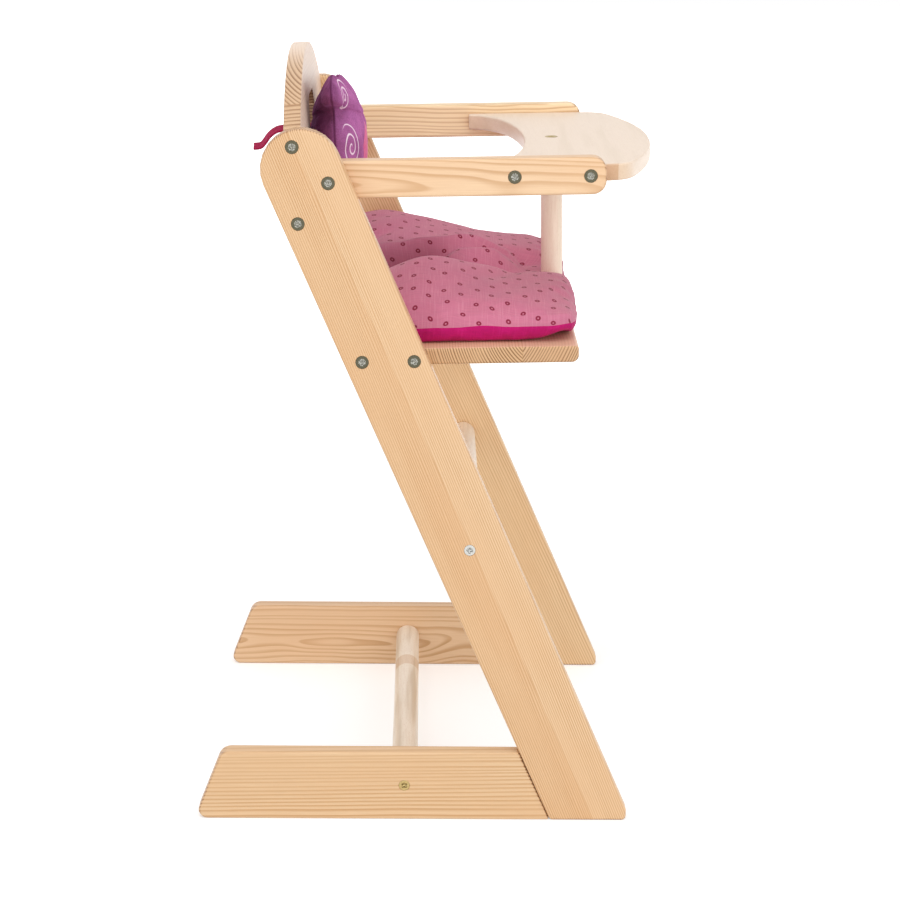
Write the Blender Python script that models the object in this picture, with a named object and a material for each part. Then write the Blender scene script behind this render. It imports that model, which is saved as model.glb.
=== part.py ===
"""Doll high chair in pine and beech, with a tray that swings up.

Two slanting uprights stand on their front feet and lean back over two floor runners. Between
them are a seat board, an arched backrest board, a footrest bar and a floor stretcher. Two
armrests carry the tray, whose post stands on the seat, and turn about one screw each side.
A plump seat cushion and a butterfly cushion on two tapes lie on the chair.

Metres. Z is up, the front faces -Y and the width runs along X. The origin is on the floor in
the middle of the chair. In a side view, "reach" is the distance forward from the back end of
the runners and "height" is the distance above the floor.
"""

import math

import bmesh
import bpy
from mathutils import Matrix, Vector
from mathutils.bvhtree import BVHTree

# Overall size
overall_width = 0.287
overall_depth = 0.306

# Stock and fits
board_thickness = 0.012
panel_thickness = 0.011
edge_round = 0.0015
fit_gap = 0.0003
cut_overrun = 0.004

# Uprights
upright_width = 0.051
upright_lean = math.radians(23.5)
upright_height = 0.473
upright_foot_reach = 0.2685
upright_toe_trim = 0.0032
upright_foot_round = 0.003

# Runners
runner_height = 0.050
runner_lean = math.radians(21.0)
runner_top_round = 0.009
runner_bottom_round = 0.006

# Cross dowels between the side frames
rail_diameter = 0.018
stretcher_reach = 0.1408
stretcher_height = 0.0255
footrest_height = 0.1960

# Seat board, which rises a little to the front
seat_rake = math.radians(1.4)
seat_front_reach = 0.2526
seat_front_height = 0.3325
seat_depth = 0.150
seat_front_upper_round = 0.002
seat_front_lower_round = 0.0045
seat_screw_spacing = 0.0335
seat_screw_shift = 0.0015

# Backrest board, which leans back
backrest_lean = math.radians(3.9)
backrest_foot_reach = 0.0730
backrest_foot_height = 0.399
backrest_top_height = 0.510
backrest_arch_rise = 0.040
backrest_shoulder_round = 0.004
backrest_corner_round = 0.004
backrest_screw_inset = 0.0143
backrest_screw_spacing = 0.0486
grip_hole_width = 0.060
grip_hole_height = 0.024
grip_hole_centre_height = 0.465

# Armrests and tray, measured forward from the hinge screws
hinge_reach = 0.0912
hinge_height = 0.4392
armrest_height = 0.024
armrest_length = 0.176
armrest_front_round = 0.009
tray_tip_distance = 0.093
tray_tip_width = 0.007
tray_cut_depth = 0.036
tray_arch_rise = 0.024
tray_corner_round = 0.018
tray_screw_distance = 0.1176
tray_screw_spacing = 0.0482
post_diameter = 0.015
post_distance = 0.1481

# Screws
frame_screw_head = 0.0084
frame_screw_shank = 0.0040
frame_screw_length = 0.032
hinge_screw_length = 0.022
rail_screw_head = 0.0074
rail_screw_shank = 0.0035
rail_screw_length = 0.034
screw_head_height = 0.0026
screw_tip_length = 0.005
recess_width = 0.0011
recess_depth = 0.0018

# Glued dowels between each runner and its upright
glue_dowel_diameter = 0.006
glue_dowel_length = 0.030
glue_dowel_chamfer = 0.0008

# Seat cushion
cushion_side_clearance = 0.0075
cushion_corner_round = 0.022
cushion_front_margin = -0.001
cushion_rear_overhang = 0.014
cushion_seam_height = 0.0105
cushion_front_crown = 0.031
cushion_rear_crown = 0.068
cushion_swell_start = 0.030
cushion_low_crown = 0.0275
cushion_low_swell = 0.013
cushion_low_swell_place = 0.098
cushion_low_swell_reach = 0.042
cushion_side_blend = 0.030
cushion_sink_start = 0.060
cushion_sink_width = 0.085
cushion_side_draw = 0.003
cushion_foot_inset = 0.010
cushion_corner_lift_reach = 0.022
cushion_post_clearance = 0.0018
cushion_notch_flare = 0.006
cushion_crease_depth = 0.0205
cushion_crease_near_width = 0.026
cushion_crease_far_width = 0.024
cushion_crease_drift = 0.042

# Butterfly cushion, in front of the backrest
butterfly_height = 0.468
butterfly_span = 0.150
butterfly_rise = 0.0192
butterfly_drop = 0.064
butterfly_thickness = 0.040
butterfly_tilt = math.radians(-7.0)
butterfly_crease_width = 0.013
body_length = 0.040
body_diameter = 0.011
body_drop = 0.012

# Fabric tapes that hold the butterfly cushion, one each side of the middle
tape_width = 0.010
tape_thickness = 0.0012
tape_offset = 0.0058
near_tail_back = 0.029
near_tail_drop = 0.011
near_tail_twist = math.radians(-15)
far_tail_back = 0.003
far_tail_drop = 0.045

# Shares of the sizes above, and powers that shape the cushions
recess_reach_share = 0.55
recess_floor_share = 0.5
glue_dowel_height_shares = (0.32, 0.68)
butterfly_outline_shares = (
    (0.00, 0.62), (0.33, 0.95), (0.68, 1.00), (0.97, 0.66), (0.97, 0.14), (0.72, -0.08),
    (0.86, -0.34), (0.82, -0.68), (0.54, -0.96), (0.24, -0.90), (0.00, -0.72),
)
butterfly_middle_share = -0.16
swell_power = 1.8
cushion_flat_power = 3.5
cushion_rim_power = 0.55
cushion_crease_power = 2.6
cushion_sink_share = 0.62
cushion_corner_lift_share = 0.9
wing_rim_power = 0.62
body_crease_share = 0.58
waist_crease_share = 0.30
upper_taper_share = 0.34
near_tail_shares = ((0.27, -0.02), (0.44, 0.06), (0.60, 0.33), (0.73, 0.73), (0.83, 0.96), (1.00, 1.00))
far_tail_shares = ((0.70, 0.02), (1.00, 0.16), (0.80, 0.45), (0.90, 0.72), (1.20, 1.00))

# Counts of faces
arc_step = math.radians(15.0)
screw_sides = 16
rail_sides = 28
post_sides = 28
glue_dowel_sides = 12
edge_segments = 2
backrest_arch_steps = 14
tray_arch_steps = 14
tray_cut_steps = 16
cushion_rings = 10
butterfly_rings = 7
body_steps = 10
tape_steps = 3

# Places worked out from the sizes above
rear_y = overall_depth / 2
side_x = overall_width / 2 - board_thickness / 2
inner_x = overall_width / 2 - board_thickness
armrest_x = inner_x - fit_gap - board_thickness / 2
tray_half_width = armrest_x - board_thickness / 2 - fit_gap
rail_length = 2 * (inner_x - fit_gap)

lean_tan = math.tan(upright_lean)
upright_half_run = upright_width / 2 / math.cos(upright_lean)
upright_round_height = upright_height - upright_width / 2

SIDES = (("right", -1), ("left", 1))


def centre_reach(height):
    """Reach of the upright's centre line at a height."""
    return upright_foot_reach - height * lean_tan


def rear_reach(height):
    """Reach of the upright's rear edge at a height."""
    return centre_reach(height) - upright_half_run


def front_reach(height):
    """Reach of the upright's front edge at a height."""
    return centre_reach(height) + upright_half_run


def place(x, reach, height):
    """World point of a side-view place."""
    return Vector((x, rear_y - reach, height))


def frame_of(origin, across, along):
    """Matrix of a local frame whose x runs across and whose y runs along."""
    first = across.normalized()
    second = along.normalized()
    third = first.cross(second)
    return Matrix.Translation(origin) @ Matrix((first, second, third)).transposed().to_4x4()


FORWARD = Vector((0, -1, 0))
UP = Vector((0, 0, 1))
SIDEWAYS = Vector((1, 0, 0))

raked_back = Vector((0, math.cos(seat_rake), -math.sin(seat_rake)))
hinge_frame = frame_of(place(0, hinge_reach, hinge_height), SIDEWAYS, raked_back)


for old_object in list(bpy.data.objects):
    bpy.data.objects.remove(old_object)

scene_collection = bpy.context.scene.collection


# Materials


def wood(name, color, roughness):
    """A Principled material in one colour."""
    material = bpy.data.materials.new(name)
    material.use_nodes = True
    shader = material.node_tree.nodes["Principled BSDF"]
    shader.inputs["Base Color"].default_value = (*color, 1)
    shader.inputs["Roughness"].default_value = roughness
    shader.inputs["Metallic"].default_value = 0
    material.diffuse_color = (*color, 1)
    return material


def metal(name, color, roughness):
    """A Principled metal in one colour."""
    material = wood(name, color, roughness)
    material.node_tree.nodes["Principled BSDF"].inputs["Metallic"].default_value = 1
    return material


pine = wood("pine", (0.80, 0.58, 0.33), 0.50)
beech = wood("beech", (0.80, 0.64, 0.50), 0.45)
zinc_steel = metal("dark_zinc_steel", (0.36, 0.35, 0.28), 0.40)
bright_zinc = metal("bright_zinc_steel", (0.72, 0.72, 0.70), 0.35)
brass = metal("yellow_zinc_steel", (0.72, 0.66, 0.36), 0.35)
ring_cotton = wood("pink_ring_cotton", (0.62, 0.20, 0.31), 0.85)
purple_velour = wood("purple_velour", (0.26, 0.07, 0.24), 0.90)
pink_cotton = wood("pink_cotton", (0.80, 0.20, 0.40), 0.85)
magenta_tape = wood("magenta_tape", (0.50, 0.01, 0.14), 0.80)


# Object and mesh helpers


def add_object(name, mesh, frame, material, parent=None):
    """Put a mesh in the scene as one named piece."""
    mesh.materials.clear()
    mesh.materials.append(material)
    piece = bpy.data.objects.new(name, mesh)
    scene_collection.objects.link(piece)
    if parent is None:
        piece.matrix_world = frame
    else:
        piece.parent = parent
        piece.matrix_basis = frame
    return piece


def mesh_from(name, build):
    """A mesh whose faces are made by build(bm) and turned to point out."""
    bm = bmesh.new()
    build(bm)
    bmesh.ops.recalc_face_normals(bm, faces=bm.faces)
    mesh = bpy.data.meshes.new(name)
    bm.to_mesh(mesh)
    bm.free()
    mesh.shade_smooth()
    mesh.set_sharp_from_angle(angle=math.radians(35))
    return mesh


def bridge(bm, first, second):
    """Faces between two closed rings of equal length."""
    count = len(first)
    for k in range(count):
        n = (k + 1) % count
        bm.faces.new((first[k], first[n], second[n], second[k]))


def cap(bm, pole, ring):
    """Triangles from a pole to a closed ring."""
    for k, vert in enumerate(ring):
        bm.faces.new((pole, vert, ring[(k + 1) % len(ring)]))


def prism_mesh(name, outline, low, high):
    """A flat outline made solid between two heights."""

    def build(bm):
        base = bm.faces.new([bm.verts.new((x, y, low)) for x, y in outline])
        grown = bmesh.ops.extrude_face_region(bm, geom=[base])
        top = [item for item in grown["geom"] if isinstance(item, bmesh.types.BMVert)]
        bmesh.ops.translate(bm, verts=top, vec=(0, 0, high - low))

    return mesh_from(name, build)


def turned_mesh(name, profile, sides):
    """A profile of (radius, z), from axis to axis, turned about local z."""

    def build(bm):
        points = [bm.verts.new((radius, 0, z)) for radius, z in profile]
        edges = [bm.edges.new(pair) for pair in zip(points, points[1:])]
        bmesh.ops.spin(bm, geom=points + edges, cent=(0, 0, 0), axis=(0, 0, 1),
                       angle=2 * math.pi, steps=sides, use_duplicate=False)
        bmesh.ops.remove_doubles(bm, verts=bm.verts, dist=fit_gap / 100)

    return mesh_from(name, build)


def ease_edges(piece, width=edge_round):
    """Round the long edges of a board, as a router does."""
    bevel = piece.modifiers.new("eased_edges", "BEVEL")
    bevel.width = width
    bevel.segments = edge_segments
    bevel.limit_method = "ANGLE"
    bevel.angle_limit = math.radians(40)
    bevel.miter_outer = "MITER_ARC"


def cut_with(piece, cutters):
    """Cut holes in a piece."""
    for cutter in cutters:
        boolean = piece.modifiers.new("hole_for_" + cutter.name, "BOOLEAN")
        boolean.operation = "DIFFERENCE"
        boolean.solver = "EXACT"
        boolean.object = cutter


def as_cutter(cutter):
    """Mark an object as a cutter, which is no part of the chair."""
    cutter.hide_render = True
    cutter.display_type = "WIRE"
    return cutter


def arc(centre, radius, start, turn, steps):
    """Points on an arc, both ends included."""
    angles = [start + turn * k / steps for k in range(steps + 1)]
    return [(centre[0] + radius * math.cos(a), centre[1] + radius * math.sin(a)) for a in angles]


def rounded(corners):
    """An outline from (x, y, radius) corners, each with a fillet of that radius."""
    outline = []
    for index, (x, y, radius) in enumerate(corners):
        corner = Vector((x, y))
        before = Vector(corners[index - 1][:2]) - corner
        after = Vector(corners[(index + 1) % len(corners)][:2]) - corner
        turn = math.pi - before.angle(after)
        if radius == 0 or turn < arc_step / 4:
            outline.append((x, y))
            continue
        setback = radius * math.tan(turn / 2)
        middle = (before.normalized() + after.normalized()).normalized()
        centre = corner + middle * math.hypot(radius, setback)
        first = corner + before.normalized() * setback - centre
        last = corner + after.normalized() * setback - centre
        sweep = first.angle_signed(last)
        start = math.atan2(first.y, first.x)
        steps = max(2, round(turn / arc_step))
        outline += arc(centre, radius, start, -sweep, steps)
    return outline


def arch_points(half_width, base, rise, steps):
    """Inner points of a low arch from +half_width to -half_width, ends left out."""
    radius = (half_width ** 2 + rise ** 2) / (2 * rise)
    half_angle = math.asin(half_width / radius)
    points = arc((0, base + rise - radius), radius, math.pi / 2 - half_angle, 2 * half_angle, steps)
    return points[1:-1]


# Screws: a countersunk head, a shank and a point, with a cross recess in the head. Local z
# points out of the wood, and the head's flat face lies at z = 0.


def screw_profile(head, shank, length, gap=0):
    """Profile of a screw, or of its hole when there is a gap."""
    head_radius = head / 2 + gap
    shank_radius = shank / 2 + gap
    profile = [(0, 0), (head_radius, 0)]
    if gap:
        profile = [(0, cut_overrun), (head_radius, cut_overrun), (head_radius, 0)]
    profile += [
        (shank_radius, -screw_head_height),
        (shank_radius, -length + screw_tip_length - gap),
        (0, -length - gap),
    ]
    return profile


def recess_mesh(name, head):
    """The cross recess of a screw head, narrower at its bottom."""
    arm = head / 2 * recess_reach_share
    half = recess_width / 2
    cross = []
    for quarter in range(4):
        turn = Matrix.Rotation(quarter * math.pi / 2, 2)
        cross += [tuple(turn @ Vector(point)) for point in ((arm, half), (half, half))]
        cross += [tuple(Matrix.Rotation((quarter + 1) * math.pi / 2, 2) @ Vector((arm, -half)))]

    def build(bm):
        rings = []
        for height, share in ((recess_depth, 1), (-recess_depth, recess_floor_share)):
            rings.append([bm.verts.new((x * share, y * share, height)) for x, y in cross])
        bm.faces.new(rings[0])
        bm.faces.new(rings[1])
        bridge(bm, rings[0], rings[1])

    return mesh_from(name, build)


def screw_mesh(name, head, shank, length):
    """A screw with its recess cut, as a mesh that its copies share."""
    blank = turned_mesh(name + "_blank", screw_profile(head, shank, length), screw_sides)
    blank_object = add_object(name + "_blank", blank, Matrix(), zinc_steel)
    recess_name = name + "_recess"
    recess = as_cutter(add_object(recess_name, recess_mesh(recess_name, head), Matrix(), zinc_steel))
    cut_with(blank_object, [recess])
    bpy.context.view_layer.update()
    graph = bpy.context.evaluated_depsgraph_get()
    mesh = bpy.data.meshes.new_from_object(blank_object.evaluated_get(graph))
    mesh.name = name
    bpy.data.objects.remove(blank_object)
    bpy.data.objects.remove(recess)
    return mesh


frame_screw = screw_mesh("frame_screw", frame_screw_head, frame_screw_shank, frame_screw_length)
hinge_screw = screw_mesh("hinge_screw", frame_screw_head, frame_screw_shank, hinge_screw_length)
rail_screw = screw_mesh("rail_screw", rail_screw_head, rail_screw_shank, rail_screw_length)

frame_screw_hole = turned_mesh(
    "frame_screw_hole",
    screw_profile(frame_screw_head, frame_screw_shank, frame_screw_length, fit_gap),
    screw_sides,
)
hinge_screw_hole = turned_mesh(
    "hinge_screw_hole",
    screw_profile(frame_screw_head, frame_screw_shank, hinge_screw_length, fit_gap),
    screw_sides,
)
rail_screw_hole = turned_mesh(
    "rail_screw_hole",
    screw_profile(rail_screw_head, rail_screw_shank, rail_screw_length, fit_gap),
    screw_sides,
)


def add_screw(name, mesh, hole_mesh, frame, material, parent=None):
    """A screw and the cutter of its hole, which is returned."""
    add_object(name, mesh.copy(), frame, material, parent)
    hole = add_object(name + "_hole", hole_mesh.copy(), frame, material, parent)
    return as_cutter(hole)


def side_screw_frame(side, x, y, z):
    """Frame of a screw driven in from the side, with its head out."""
    return frame_of(Vector((side * x, y, z)), UP, SIDEWAYS.cross(UP) * side)


# Side frames: each has an upright and a runner. Outlines are (reach, height) places.


def upright_outline():
    """A slanting board with a round top, a flat foot and a trimmed toe."""
    toe_reach = front_reach(0) - upright_toe_trim
    toe_height = upright_toe_trim / lean_tan
    centre = (centre_reach(upright_round_height), upright_round_height)
    top = arc(centre, upright_width / 2, upright_lean, math.pi, round(math.pi / arc_step))
    corners = [
        (rear_reach(0), 0, upright_foot_round),
        (toe_reach, 0, upright_foot_round),
        (toe_reach, toe_height, upright_foot_round),
    ]
    corners += [(reach, height, 0) for reach, height in top]
    return rounded(corners)


def runner_outline():
    """A floor runner: a slanting back end and a front end cut along the upright."""
    side_gap = fit_gap / math.cos(upright_lean)
    rear_foot = runner_bottom_round * (1 - (1 + math.sin(runner_lean)) / math.cos(runner_lean))
    rear_top = rear_foot + runner_height * math.tan(runner_lean)
    return rounded([
        (rear_foot, 0, runner_bottom_round),
        (rear_reach(0) - side_gap, 0, 0),
        (rear_reach(runner_height) - side_gap, runner_height, 0),
        (rear_top, runner_height, runner_top_round),
    ])


def board_cap_range(thickness):
    """Low and high face of a board that is centred on its plane."""
    return -thickness / 2, thickness / 2


def side_frame(x):
    """Frame for side-view outlines, whose plane stands at x."""
    return frame_of(place(x, 0, 0), FORWARD, UP)


upright_mesh = prism_mesh("upright", upright_outline(), *board_cap_range(board_thickness))
runner_mesh = prism_mesh("runner", runner_outline(), *board_cap_range(board_thickness))

uprights = {}
runners = {}
for side_name, side in SIDES:
    x = side * side_x
    uprights[side] = add_object("upright_" + side_name, upright_mesh.copy(), side_frame(x), pine)
    runners[side] = add_object("runner_" + side_name, runner_mesh.copy(), side_frame(x), pine)
    ease_edges(uprights[side])
    ease_edges(runners[side])


# Glue dowels: two in each joint between runner and upright, square to the joint


def dowel_profile(radius, length, chamfer):
    """Profile of a dowel with chamfered ends, centred on its length."""
    half = length / 2
    return [
        (0, half),
        (radius - chamfer, half),
        (radius, half - chamfer),
        (radius, chamfer - half),
        (radius - chamfer, -half),
        (0, -half),
    ]


def plain_profile(radius, low, high):
    """Profile of a plain cylinder."""
    return [(0, high), (radius, high), (radius, low), (0, low)]


glue_dowel_mesh = turned_mesh(
    "glue_dowel",
    dowel_profile(glue_dowel_diameter / 2, glue_dowel_length, glue_dowel_chamfer),
    glue_dowel_sides,
)
glue_hole_mesh = turned_mesh(
    "glue_hole",
    plain_profile(
        glue_dowel_diameter / 2 + fit_gap,
        -glue_dowel_length / 2 - fit_gap,
        glue_dowel_length / 2 + fit_gap,
    ),
    glue_dowel_sides,
)
joint_square = FORWARD * math.cos(upright_lean) + UP * math.sin(upright_lean)

for side_name, side in SIDES:
    for place_name, share in zip(("lower", "upper"), glue_dowel_height_shares):
        height = runner_height * share
        centre = place(side * side_x, rear_reach(height), height)
        frame = frame_of(centre, SIDEWAYS, joint_square.cross(SIDEWAYS))
        name = f"glue_dowel_{place_name}_{side_name}"
        add_object(name, glue_dowel_mesh.copy(), frame, beech)
        hole = as_cutter(add_object(name + "_hole", glue_hole_mesh.copy(), frame, beech))
        cut_with(uprights[side], [hole])
        cut_with(runners[side], [hole])


# Stretcher and footrest bar: round rails between the side frames, held by one screw an end

rail_mesh = turned_mesh(
    "rail",
    dowel_profile(rail_diameter / 2, rail_length, glue_dowel_chamfer),
    rail_sides,
)


def add_rail(name, reach, height, carriers, material):
    """A rail along X and its two end screws, driven in through the carriers."""
    centre = place(0, reach, height)
    rail = add_object(name, rail_mesh.copy(), frame_of(centre, UP, SIDEWAYS.cross(UP)), beech)
    for side_name, side in SIDES:
        frame = side_screw_frame(side, overall_width / 2, centre.y, centre.z)
        hole = add_screw(f"{name}_screw_{side_name}", rail_screw, rail_screw_hole, frame, material)
        cut_with(carriers[side], [hole])
        cut_with(rail, [hole])


add_rail("floor_stretcher", stretcher_reach, stretcher_height, runners, brass)
add_rail("footrest_bar", centre_reach(footrest_height), footrest_height, uprights, bright_zinc)


# Seat board: its frame has y going back along the board and its top face at z = 0

seat_frame = frame_of(place(0, seat_front_reach, seat_front_height), SIDEWAYS, raked_back)
half_board = rail_length / 2
seat_mesh = prism_mesh(
    "seat_board",
    rounded([
        (0, -panel_thickness, seat_front_lower_round),
        (seat_depth, -panel_thickness, 0),
        (seat_depth, 0, 0),
        (0, 0, seat_front_upper_round),
    ]),
    -half_board,
    half_board,
)
seat_side = frame_of(seat_frame.translation, raked_back, SIDEWAYS.cross(raked_back))
seat_board = add_object("seat_board", seat_mesh, seat_side, pine)
ease_edges(seat_board)


def back_to_upright(frame, z):
    """Distance back, in a raked frame, to the uprights' centre line, at local height z."""
    start = frame @ Vector((0, 0, z))
    reach = rear_y - start.y
    spare = reach - centre_reach(start.z)
    return spare / (math.cos(seat_rake) + math.sin(seat_rake) * lean_tan)


seat_screw_z = -panel_thickness / 2
seat_screw_middle = back_to_upright(seat_frame, seat_screw_z) - seat_screw_shift
for place_name, offset in (("front", -seat_screw_spacing / 2), ("rear", seat_screw_spacing / 2)):
    spot = seat_frame @ Vector((0, seat_screw_middle + offset, seat_screw_z))
    for side_name, side in SIDES:
        frame = side_screw_frame(side, overall_width / 2, spot.y, spot.z)
        name = f"seat_screw_{place_name}_{side_name}"
        hole = add_screw(name, frame_screw, frame_screw_hole, frame, zinc_steel)
        cut_with(uprights[side], [hole])
        cut_with(seat_board, [hole])


# Backrest board: its frame has y going up along the board and z coming forward

up_the_back = Vector((0, math.sin(backrest_lean), math.cos(backrest_lean)))
backrest_frame = frame_of(place(0, backrest_foot_reach, backrest_foot_height), SIDEWAYS, up_the_back)
backrest_height = (backrest_top_height - backrest_foot_height) / math.cos(backrest_lean)
shoulder_height = backrest_height - backrest_arch_rise
arch = arch_points(half_board, shoulder_height, backrest_arch_rise, backrest_arch_steps)
backrest_corners = [
    (-half_board, 0, backrest_corner_round),
    (half_board, 0, backrest_corner_round),
    (half_board, shoulder_height, backrest_shoulder_round),
]
backrest_corners += [(x, y, 0) for x, y in arch]
backrest_corners.append((-half_board, shoulder_height, backrest_shoulder_round))
backrest_mesh = prism_mesh("backrest_board", rounded(backrest_corners), *board_cap_range(panel_thickness))
backrest_board = add_object("backrest_board", backrest_mesh, backrest_frame, pine)

grip_y = (grip_hole_centre_height - backrest_foot_height) / math.cos(backrest_lean)
grip_radius = grip_hole_height / 2
grip_end = grip_hole_width / 2 - grip_radius
grip_steps = round(math.pi / arc_step)
grip_outline = arc((grip_end, grip_y), grip_radius, -math.pi / 2, math.pi, grip_steps)
grip_outline += arc((-grip_end, grip_y), grip_radius, math.pi / 2, math.pi, grip_steps)
grip_reach = panel_thickness / 2 + cut_overrun
grip_mesh = prism_mesh("grip_hole", grip_outline, -grip_reach, grip_reach)
grip_hole = as_cutter(add_object("grip_hole", grip_mesh, backrest_frame, pine))
cut_with(backrest_board, [grip_hole])
ease_edges(backrest_board)

for place_name, distance in (
    ("lower", backrest_screw_inset),
    ("upper", backrest_screw_inset + backrest_screw_spacing),
):
    spot = backrest_frame @ Vector((0, distance, 0))
    for side_name, side in SIDES:
        frame = side_screw_frame(side, overall_width / 2, spot.y, spot.z)
        name = f"backrest_screw_{place_name}_{side_name}"
        hole = add_screw(name, frame_screw, frame_screw_hole, frame, zinc_steel)
        cut_with(uprights[side], [hole])
        cut_with(backrest_board, [hole])


# Tray assembly: everything here hangs on the hinge empty, whose x axis is the hinge axis and
# whose y axis goes back. The armrests turn on two screws that pass through the uprights.

hinge = bpy.data.objects.new("tray_hinge", None)
scene_collection.objects.link(hinge)
hinge.matrix_world = hinge_frame
bpy.context.view_layer.update()

armrest_half = armrest_height / 2
armrest_corners = arc((0, 0), armrest_half, math.pi / 2, math.pi, round(math.pi / arc_step))
armrest_outline = rounded(
    [(distance, height, 0) for distance, height in armrest_corners]
    + [
        (armrest_length, -armrest_half, armrest_front_round),
        (armrest_length, armrest_half, armrest_front_round),
    ]
)
armrest_mesh = prism_mesh("armrest", armrest_outline, *board_cap_range(board_thickness))
armrests = {}
for side_name, side in SIDES:
    frame = frame_of(Vector((side * armrest_x, 0, 0)), FORWARD, UP)
    armrests[side] = add_object("armrest_" + side_name, armrest_mesh.copy(), frame, pine, hinge)
    ease_edges(armrests[side])
    frame = side_screw_frame(side, overall_width / 2, 0, 0)
    name = "hinge_screw_" + side_name
    hole = add_screw(name, hinge_screw, hinge_screw_hole, frame, zinc_steel, hinge)
    cut_with(uprights[side], [hole])
    cut_with(armrests[side], [hole])

# Tray: a beech board between the armrests. Its outline runs as (x, distance forward).
tray_front_drop = (panel_thickness / 2 - edge_round) * math.sin(seat_rake)
tray_front = (overall_depth - hinge_reach - tray_front_drop) / math.cos(seat_rake)
tray_arch_base = tray_front - tray_arch_rise
tray_cut_half = tray_half_width - tray_tip_width
tray_front_arch = arch_points(tray_half_width, tray_arch_base, tray_arch_rise, tray_arch_steps)
tray_cut = [
    (
        -tray_cut_half * math.cos(math.pi * k / tray_cut_steps),
        tray_tip_distance + tray_cut_depth * math.sin(math.pi * k / tray_cut_steps),
    )
    for k in range(tray_cut_steps + 1)
]
tray_corners = [(tray_half_width, tray_tip_distance, edge_round)]
tray_corners.append((tray_half_width, tray_arch_base, tray_corner_round))
tray_corners += [(x, distance, 0) for x, distance in tray_front_arch]
tray_corners.append((-tray_half_width, tray_arch_base, tray_corner_round))
tray_corners.append((-tray_half_width, tray_tip_distance, edge_round))
tray_corners += [(x, distance, 0) for x, distance in tray_cut]
tray_outline = [(x, -distance) for x, distance in rounded(tray_corners)]
tray_mesh = prism_mesh("tray_board", tray_outline, *board_cap_range(panel_thickness))
tray_board = add_object("tray_board", tray_mesh, Matrix(), beech, hinge)
ease_edges(tray_board)

armrest_outside = armrest_x + board_thickness / 2
for place_name, distance in (
    ("rear", tray_screw_distance),
    ("front", tray_screw_distance + tray_screw_spacing),
):
    for side_name, side in SIDES:
        frame = side_screw_frame(side, armrest_outside, -distance, 0)
        name = f"tray_screw_{place_name}_{side_name}"
        hole = add_screw(name, frame_screw, frame_screw_hole, frame, zinc_steel, hinge)
        cut_with(armrests[side], [hole])
        cut_with(tray_board, [hole])

# Post: a beech dowel from the tray's underside down to the seat, held by a screw from above
hinge_to_seat = hinge_frame.inverted() @ seat_frame.translation
post_top = -panel_thickness / 2 - fit_gap
post_foot = hinge_to_seat.z + fit_gap
post_mesh = turned_mesh(
    "crotch_post",
    [
        (radius, z + (post_top + post_foot) / 2)
        for radius, z in dowel_profile(post_diameter / 2, post_top - post_foot, glue_dowel_chamfer)
    ],
    post_sides,
)
post_frame = Matrix.Translation((0, -post_distance, 0))
crotch_post = add_object("crotch_post", post_mesh, post_frame, beech, hinge)
post_screw_frame = Matrix.Translation((0, -post_distance, panel_thickness / 2))
post_hole = add_screw("post_screw", frame_screw, frame_screw_hole, post_screw_frame, brass, hinge)
cut_with(tray_board, [post_hole])
cut_with(crotch_post, [post_hole])


# Cushions: both are closed shells of rings drawn from a middle point out to the seam and back


def curve_point(a, b, c, d, t):
    """Place at share t between b and c on the smooth curve through a, b, c and d."""
    pull = 2 * b + (c - a) * t + (2 * a - 5 * b + 4 * c - d) * t ** 2
    return (pull + (3 * b - a - 3 * c + d) * t ** 3) / 2


def smooth_loop(points, pieces):
    """A closed smooth curve through the points, with some pieces between each pair."""
    count = len(points)
    loop = []
    for index in range(count):
        a, b, c, d = (Vector(points[(index + step) % count]) for step in (-1, 0, 1, 2))
        for piece in range(pieces):
            loop.append(tuple(curve_point(a, b, c, d, piece / pieces)))
    return loop


def shell_mesh(name, seam, middle, upper, lower, rings):
    """A pillow: upper(x, y, share) and lower(x, y, share) give its two faces' heights."""

    def ring_at(bm, share, surface):
        points = []
        for x, y in seam:
            px = middle[0] + (x - middle[0]) * share
            py = middle[1] + (y - middle[1]) * share
            points.append(bm.verts.new((px, py, surface(px, py, share))))
        return points

    def build(bm):
        shares = [math.sin(math.pi / 2 * k / rings) for k in range(1, rings)]
        rim = ring_at(bm, 1, upper)
        for surface in (upper, lower):
            pole = bm.verts.new((*middle, surface(*middle, 0)))
            layers = [ring_at(bm, share, surface) for share in shares] + [rim]
            cap(bm, pole, layers[0])
            for inner, outer in zip(layers, layers[1:]):
                bridge(bm, inner, outer)

    return mesh_from(name, build)


# Seat cushion: a plump pillow whose front is notched for the post, in the seat's frame
post_back = -(post_distance + hinge_to_seat.y)
cushion_front = cushion_front_margin
cushion_rear = seat_depth + cushion_rear_overhang
cushion_middle = (0, (cushion_front + cushion_rear) / 2)
notch_end = post_back + post_diameter / 2 + cushion_post_clearance
notch_half = post_diameter / 2 + cushion_post_clearance
cushion_half = inner_x - cushion_side_clearance


def cushion_outline():
    """A rounded square with sides drawn in and a flared notch in the middle of its front."""
    draw = cushion_side_draw
    radius = cushion_corner_round
    mouth = notch_half + cushion_notch_flare
    inner = notch_half / 2
    half = [
        (inner, notch_end, 0),
        (notch_half, notch_end - inner, 0),
        (mouth, cushion_front, cushion_notch_flare),
        (cushion_half / 2, cushion_front + draw / 2, 0),
        (cushion_half, cushion_front, radius),
        (cushion_half - draw, cushion_middle[1], 0),
        (cushion_half, cushion_rear, radius),
        (cushion_half / 2, cushion_rear - draw, 0),
    ]
    mirrored = [(-x, y, fillet) for x, y, fillet in reversed(half)]
    return rounded(half + mirrored)


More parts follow.
